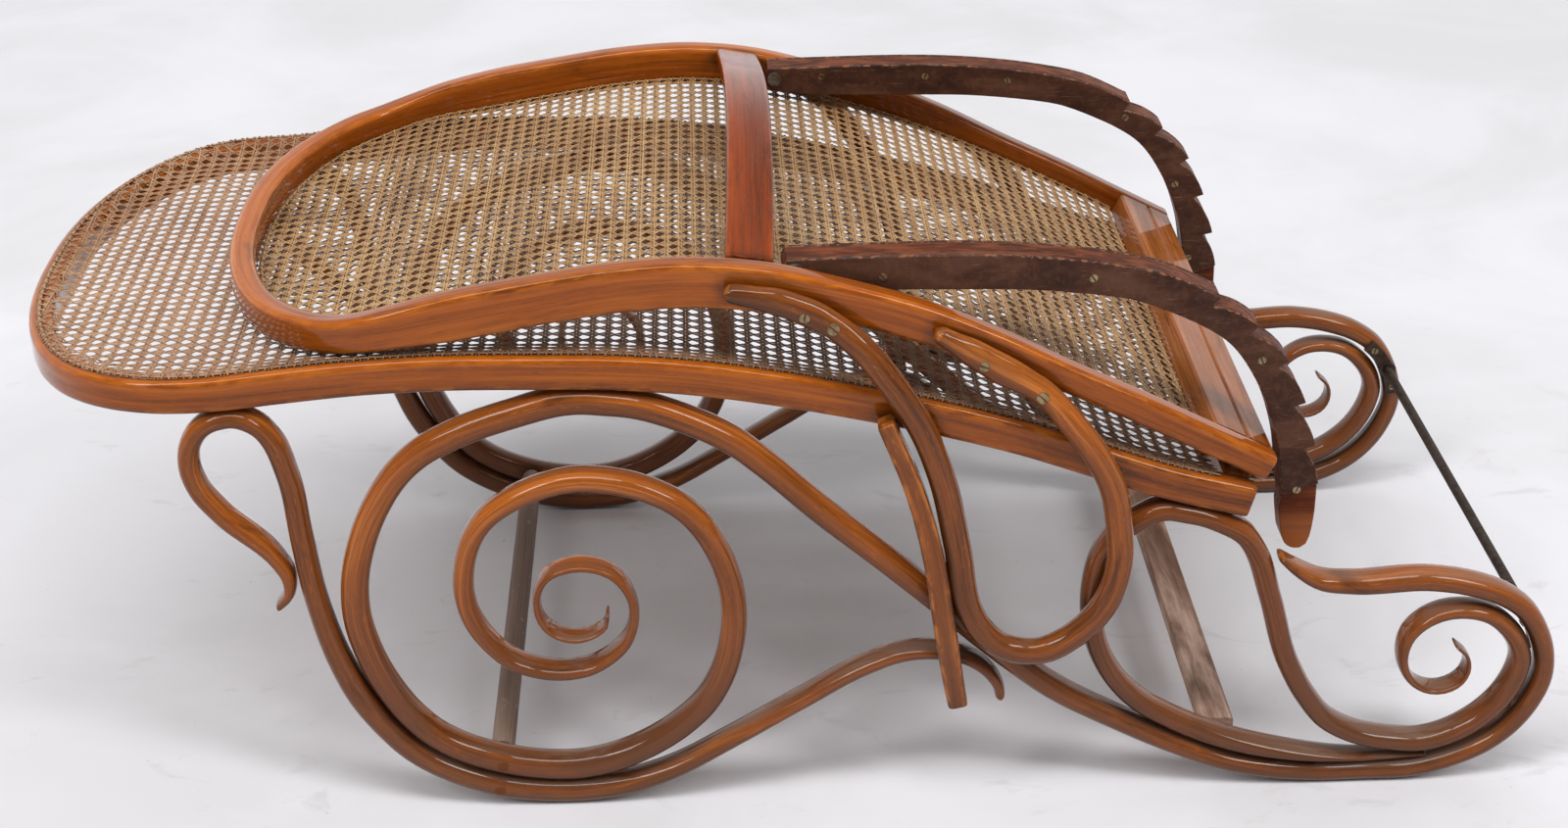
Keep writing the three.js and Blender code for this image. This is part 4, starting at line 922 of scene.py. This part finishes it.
def weave(name, node, outline, pitch_x, pitch_y, material, body):
    """Pairs of strands along and across, crossed by slanting ones, and a bound edge round them."""
    xs, half, z_at = outline
    dense = np.linspace(xs[0], xs[-1], 1400)
    half_of = lambda x: np.interp(x, xs, half)
    paths = []
    x0, x1 = xs[0], xs[-1]
    widest = half.max()

    for j in range(-int(widest / pitch_y) - 1, int(widest / pitch_y) + 2):
        for sign in (-1, 1):
            y = j * pitch_y + sign * PAIR
            inside = dense[half_of(dense) > abs(y)]
            if len(inside):
                x, rise = straight(pitch_x, inside[0], x1, (LIFT, -LIFT))
                path = np.stack([x, np.full(len(x), y), z_at(x, y) + rise], 1)
                paths.append((path, (0, 1, 0), random.random()))
    for i in range(math.floor(x0 / pitch_x), math.ceil(x1 / pitch_x) + 1):
        for sign in (-1, 1):
            x = i * pitch_x + sign * PAIR
            if x0 + 0.001 < x < x1:
                y, rise = straight(pitch_y, -half_of(x), half_of(x), (-LIFT * sign, -LIFT * sign))
                path = np.stack([np.full(len(y), x), y, z_at(x, y) + rise], 1)
                paths.append((path, (1, 0, 0), random.random()))
    slant = math.hypot(pitch_x, pitch_y)
    lines = int((x1 - x0) / pitch_x + 2 * widest / pitch_y) + 4
    first = math.floor(x0 / pitch_x - widest / pitch_y) - 1
    cells = np.arange(math.floor(x0 / pitch_x) - 1, math.ceil(x1 / pitch_x) + 1, 0.25)
    x = cells * pitch_x
    for family in (1, -1):
        across = (pitch_y * family / slant, pitch_x / slant, 0)
        for k in range(first, first + lines):
            # x / pitch_x + family * y / pitch_y = k + 0.5
            y = family * (k + 0.5 - x / pitch_x) * pitch_y
            rise = family * CROSS_LIFT * np.cos(2 * np.pi * x / pitch_x)
            use = np.nonzero((x >= x0) & (x <= x1) & (np.abs(y) < half_of(x) + BEYOND))[0]
            for run in np.split(use, np.nonzero(np.diff(use) > 1)[0] + 1):
                if len(run) > 2:
                    path = np.stack([x[run], y[run], z_at(x[run], y[run]) + rise[run]], 1)
                    paths.append((path, across, random.random()))
    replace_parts(ribbons(name, paths, material, body), node)
    # The strip that covers the strand ends along the rails, held by small loops.
    upper = np.concatenate([np.stack([xs, half], 1)[::-1], np.stack([xs, -half], 1)])
    run = run_along(upper)
    at = lambda s: np.stack([np.interp(s, run, upper[:, 0]), np.interp(s, run, upper[:, 1])], -1)
    s = np.linspace(0, 1, 360) * run[-1]
    flat = at(s)
    tangent = np.gradient(flat, axis=0)
    tangent /= np.maximum(lengths(tangent), 1e-9)[:, None]
    side = np.stack([-tangent[:, 1], tangent[:, 0]], 1)
    towards = np.array([xs.mean(), 0]) - flat
    side *= np.sign((side * towards).sum(1))[:, None]
    centre_line = flat + side * BINDER_IN
    binder = np.column_stack([centre_line, z_at(centre_line[:, 0], centre_line[:, 1]) + BINDER_UP])
    wide = np.column_stack([side, np.zeros(len(side))])
    edge_paths = [(binder, wide * 1.7, 0.6)]
    loops = np.arange(0.004, run[-1] - 0.004, min(pitch_x, pitch_y) / 2)
    for n, place in enumerate(loops):
        k = int(np.clip(np.searchsorted(s, place), 1, len(s) - 2))
        lean = 0.5 if n % 2 else -0.5
        u = np.array(LOOP_IN)[:, None]
        line = at(place) + side[k] * u + tangent[k] * (u * lean)
        z = z_at(line[:, 0], line[:, 1]) + LOOP_UP
        edge_paths.append((np.column_stack([line, z]), np.append(tangent[k], 0) * 0.9, random.random()))
    ribbons(name + "_border", edge_paths, material, body)


weave(
    "woven_seat_cane", "seat_cane", laid_over("seat_cane", "seat_frame", 0.0065), 0.0123, 0.0114,
    seat_cane_look, "base",
)
weave("woven_back_cane", "back_cane", let_in("back_cane"), 0.0111, 0.0133, back_cane_look, "backrest")


# ---- screws and plugs

trees = {}


def surface(node, origin, direction):
    """Where a ray from origin meets a finished piece, and the face's direction there."""
    if node not in trees:
        trees[node] = ray_tree(node)
    return trees[node].ray_cast(Vector(origin), Vector(direction))[:2]


def circle(radius, count):
    angles = np.linspace(0, 2 * math.pi, count, endpoint=False)
    return [(radius * math.cos(a), radius * math.sin(a)) for a in angles]


SLOT = 0.14                      # half width of a screw's slot, as a share of the head's radius


def screw(name, place, normal, radius, turn, body, proud=0.0007, dome=0.0005, slotted=True):
    """A slotted head let into the surface, or a domed plug. turn: how far the slot is turned."""
    normal = Vector(normal).normalized()
    basis = normal.to_track_quat("Z", "Y").to_matrix()
    points, quads, fans = [], [], []

    def patch(outline, low, high, bulge):
        """A head from low to high, with softened edges."""
        start, n = len(points), len(outline)
        centre = np.mean(outline, axis=0)
        shoulder = high - 0.25 * (high - low)
        levels = ((1.0, low), (1.0, shoulder), (0.93, high), (0.5, high + bulge * 0.75))
        for scale, z in levels:
            points.extend((*q, z) for q in centre + (np.array(outline) - centre) * scale)
        points.append((*centre, high + bulge))
        quads.extend(tube(len(levels), n) + start)
        top, hub = start + (len(levels) - 1) * n, start + len(levels) * n
        fans.extend((top + k, top + (k + 1) % n, hub) for k in range(n))

    if slotted:
        cut = math.asin(SLOT)
        for sign in (1, -1):
            angles = [cut + (math.pi - 2 * cut) * k / 14 for k in range(15)]
            outline = [(radius * math.cos(a), sign * radius * math.sin(a)) for a in angles]
            patch(outline if sign > 0 else outline[::-1], -0.0012, proud, dome * 0.4)
        patch(circle(radius * 0.97, 20), -0.0014, -0.0003, 0.0)
    else:
        patch(circle(radius, 28), -0.0012, proud * 0.2, dome * 0.3)
    spin = Matrix.Rotation(turn, 3, "Z")
    local = [spin @ Vector(p) for p in points]
    obj = mesh_object(
        name, [tuple(Vector(place) + basis @ p) for p in local], [quads, fans],
        steel if slotted else plug_wood, body,
        grain=np.array([tuple(p) for p in local]) + random.random(3), soil=np.zeros((len(points), 3)),
    )
    obj.data.set_sharp_from_angle(angle=math.radians(35))


RAY_START = 0.4                  # how far from the middle the rays start that find a surface
OUTER_FACE = 0.255               # a ray that gets past it has met a member behind the outer one
PLATE_SCREW = 0.0034             # radii
BRACKET_SCREW = 0.0036
PLUG = 0.0048
# Tag, X, Z and radius.
FOOT_SCREWS = [
    ("a", 0.098, 0.450, 0.0050), ("b", 0.076, 0.459, 0.0042),
    ("c", 0.215, 0.414, 0.0042), ("d", 0.261, 0.387, 0.0050),
]
for side, sign in SIDES:
    loop = f"armrest_loop_{side}"
    for tag, x, z, radius in FOOT_SCREWS:
        place, normal = surface(loop, (x + SHIFT, sign * RAY_START, z), (0, -sign, 0))
        screw(f"armrest_screw_{tag}_{side}", place, normal, radius, random.random() * 3, "backrest")
    for tag, x, z in (("a", -0.178, 0.043), ("b", -0.182, 0.018)):
        for node in (f"scroll_rocker_{side}", f"front_scroll_{side}"):
            place, normal = surface(node, (x + SHIFT, sign * RAY_START, z), (0, -sign, 0))
            if place is not None and abs(place.y) > OUTER_FACE:
                screw(f"rocker_plug_{tag}_{side}", place, normal, PLUG, 0, "base", slotted=False)
                break

# Where rays start, which way they go, and the places of the screws on each plate of a stay.
PLATE_SCREWS = {
    "outer": (0.2325, -1, [(0.1388, 0.4722), (0.3031, 0.4674), (0.4415, 0.3923), (0.4799, 0.2732)]),
    "inner": (0.190, 1, [
        (0.1136, 0.4800), (0.2103, 0.4780), (0.2873, 0.4720), (0.4000, 0.4333),
        (0.4520, 0.3646), (0.4697, 0.2874),
    ]),
}
for side, sign in SIDES:
    for tag, (start, direction, places) in PLATE_SCREWS.items():
        for n, (x, z) in enumerate(places):
            node = f"ratchet_plate_{tag}_{side}"
            place, normal = surface(node, (x + SHIFT, sign * start, z), (0, sign * direction, 0))
            screw(
                f"plate_screw_{tag}_{n + 1}_{side}", place, normal, PLATE_SCREW, random.random() * 3,
                f"stay_{side}", proud=0.0003, dome=0.0001,
            )

REAR_SCROLL = (0.612 + SHIFT, 0.105)      # its middle
BRACKET_REACH = 0.088 * 0.98              # from there to the screws
BRACKET_FACE = 0.2336
for side, sign in SIDES:
    for n, degrees in enumerate((13, 44)):
        angle = math.radians(degrees)
        x = REAR_SCROLL[0] + BRACKET_REACH * math.cos(angle)
        z = REAR_SCROLL[1] + BRACKET_REACH * math.sin(angle)
        screw(
            f"bracket_screw_{n + 1}_{side}", (x, sign * BRACKET_FACE, z), (0, -sign, 0), BRACKET_SCREW,
            0.4 + n, "base", proud=0.0005,
        )


# ---- the CAD nodes that stay in sight

def soften(node, material, width=0.0008):
    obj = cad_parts[node]
    obj.data.materials.clear()
    obj.data.materials.append(material)
    bevel = obj.modifiers.new("worn edges", "BEVEL")
    bevel.width = width
    bevel.segments = 3
    bevel.limit_method = "ANGLE"
    bevel.angle_limit = math.radians(35)
    bevel.harden_normals = True
    for polygon in obj.data.polygons:
        polygon.use_smooth = True
    obj.data.set_sharp_from_angle(angle=math.radians(50))


for node in ("back_end_strip", "back_bottom_rail", "seat_rear_rail"):
    soften(node, board_wood, 0.0014)
for side, _ in SIDES:
    soften(f"rod_bracket_{side}", iron, 0.0004)
    for part in ("hinge_seat_leaf", "hinge_back_leaf", "hinge_pin", "stay_spacer"):
        soften(f"{part}_{side}", hinge_steel, 0.0002)
    soften(f"stay_pivot_screw_{side}", hinge_steel, 0.0005)
board_grey = polished_wood(
    "rear_bar_wood", (156, 128, 110), (215, 182, 163), (238, 213, 196),
    own=False, grain_axis="Y", gloss=0.55, coat=0.0, offset=5.0,
)
soften("rear_stretcher_bar", board_grey, 0.0012)


# ---- floor, light and camera

BACKDROP = (0.78, 0.775, 0.81, 1.0)
FLOOR_REACH = 30.0
FLOOR_CELLS = 60
FLOOR_LEVEL = -0.0002            # just under the part


def floor_material():
    t = Tree(bpy.data.materials.new("studio_floor"))
    place = t.here()
    broad = t.noise(place, (2.2, 2.2, 1), 5, 0.6, 0.5)
    colour = t.ramp(t.span(broad, 0.32, 0.7), [
        (0.0, srgb(223, 222, 225)), (0.5, srgb(230, 229, 233)), (1.0, srgb(235, 234, 238)),
    ])
    # The smears and specks of a used floor, near the chair.
    smear = t.span(t.noise(place, (9, 16, 1), 5, 0.66, 1.2, (3, 7, 0)), 0.58, 0.72)
    away = t.node("VectorMath", {0: place, 1: (0.0, -0.4, 0.0)}, operation="DISTANCE").outputs["Value"]
    front = t.span(away, 0.9, 1.6, 1.0, 0.1)
    colour = t.mix(t.times(smear, 0.2, front), colour, srgb(168, 158, 152))
    speck = t.span(t.noise(place, (70, 55, 1), 4, 0.7, 0.8), 0.7, 0.76)
    colour = t.mix(t.times(speck, 0.4, front), colour, srgb(120, 104, 96))
    rough = t.span(broad, 0.3, 0.7, 0.5, 0.75)
    fine = t.noise(place, (30, 30, 30), 4, 0.6)
    # Far away the floor goes over into the backdrop, for what the camera and the metal see.
    path = t.node("LightPath")
    seen = t.math("MAXIMUM", path.outputs["Is Camera Ray"], path.outputs["Is Glossy Ray"])
    gone = t.times(seen, t.span(away, 3.0, 7.0))
    colour = t.mix(gone, colour, (0.0, 0.0, 0.0, 1.0))
    return t.finish(
        Base_Color=colour, Roughness=rough, Normal=t.bump(fine, 0.001, 0.15), Specular_IOR_Level=0.2,
        Emission_Color=BACKDROP, Emission_Strength=gone,
    )


floor_mesh = bpy.data.meshes.new("studio_floor")
marks = [FLOOR_REACH * (2 * k / FLOOR_CELLS - 1) for k in range(FLOOR_CELLS + 1)]
points = [(x, y, FLOOR_LEVEL) for y in marks for x in marks]
# A tube's faces without those that would close each row into a ring.
faces = tube(FLOOR_CELLS + 1, FLOOR_CELLS + 1)
faces = faces[np.arange(len(faces)) % (FLOOR_CELLS + 1) < FLOOR_CELLS].tolist()
floor_mesh.from_pydata(points, [], faces)
floor_mesh.materials.append(floor_material())
placed("studio_floor", floor_mesh)

world = bpy.data.worlds.new("studio_air")
bpy.context.scene.world = world
air = Tree(world)
# A pale wall behind the chair and a dimmer room above and behind the camera. The camera sees the backdrop.
direction = air.node("TexCoord").outputs["Generated"]
wall = air.span(air.part(direction, "Y"), -0.5, 0.55, 0.34, 1.0)
ceiling = air.span(air.part(direction, "Z"), 0.12, 0.6, 1.0, 0.5)
level = air.times(wall, ceiling)
tint = air.node("CombineColor", {0: level, 1: level, 2: level}).outputs[0]
air.node("OutputWorld", {"Surface": air.node("MixShader", {
    0: air.node("LightPath").outputs["Is Camera Ray"],
    1: air.node("Background", {"Color": tint, "Strength": 1.06}).outputs[0],
    2: air.node("Background", {"Color": BACKDROP}).outputs[0],
}).outputs[0]})


LAMP_TARGET = (0, 0, 0.2)


def softbox(name, place, width, height, power):
    lamp = bpy.data.lights.new(name, "AREA")
    lamp.shape = "RECTANGLE"
    lamp.size, lamp.size_y = width, height
    lamp.energy = power
    obj = placed(name, lamp)
    obj.location = place
    obj.rotation_euler = (Vector(LAMP_TARGET) - Vector(place)).to_track_quat("-Z", "Y").to_euler()


softbox("softbox_left", (-9.6, -7.6, 12.8), 3.6, 6.6, 880)
softbox("softbox_right", (9.6, -8.0, 12.4), 3.3, 6.6, 840)
softbox("strip_light", (-0.9, -5.1, 14.4), 11.2, 3.7, 1040)

camera_data = bpy.data.cameras.new("camera")
camera_data.sensor_fit = "HORIZONTAL"
camera_data.sensor_width = 36
camera_data.lens = 56.25
camera_data.clip_end = 60
camera = placed("camera", camera_data)
# The columns are the camera's right, up and back, and its place.
camera.matrix_world = Matrix((
    (0.99922, 0.02371, -0.03147, SHIFT),
    (-0.03890, 0.46587, -0.88400, -1.95496),
    (-0.00630, 0.88454, 0.46643, 1.26417),
    (0, 0, 0, 1),
))
bpy.context.scene.camera = camera
bpy.context.scene.view_settings.view_transform = "Standard"
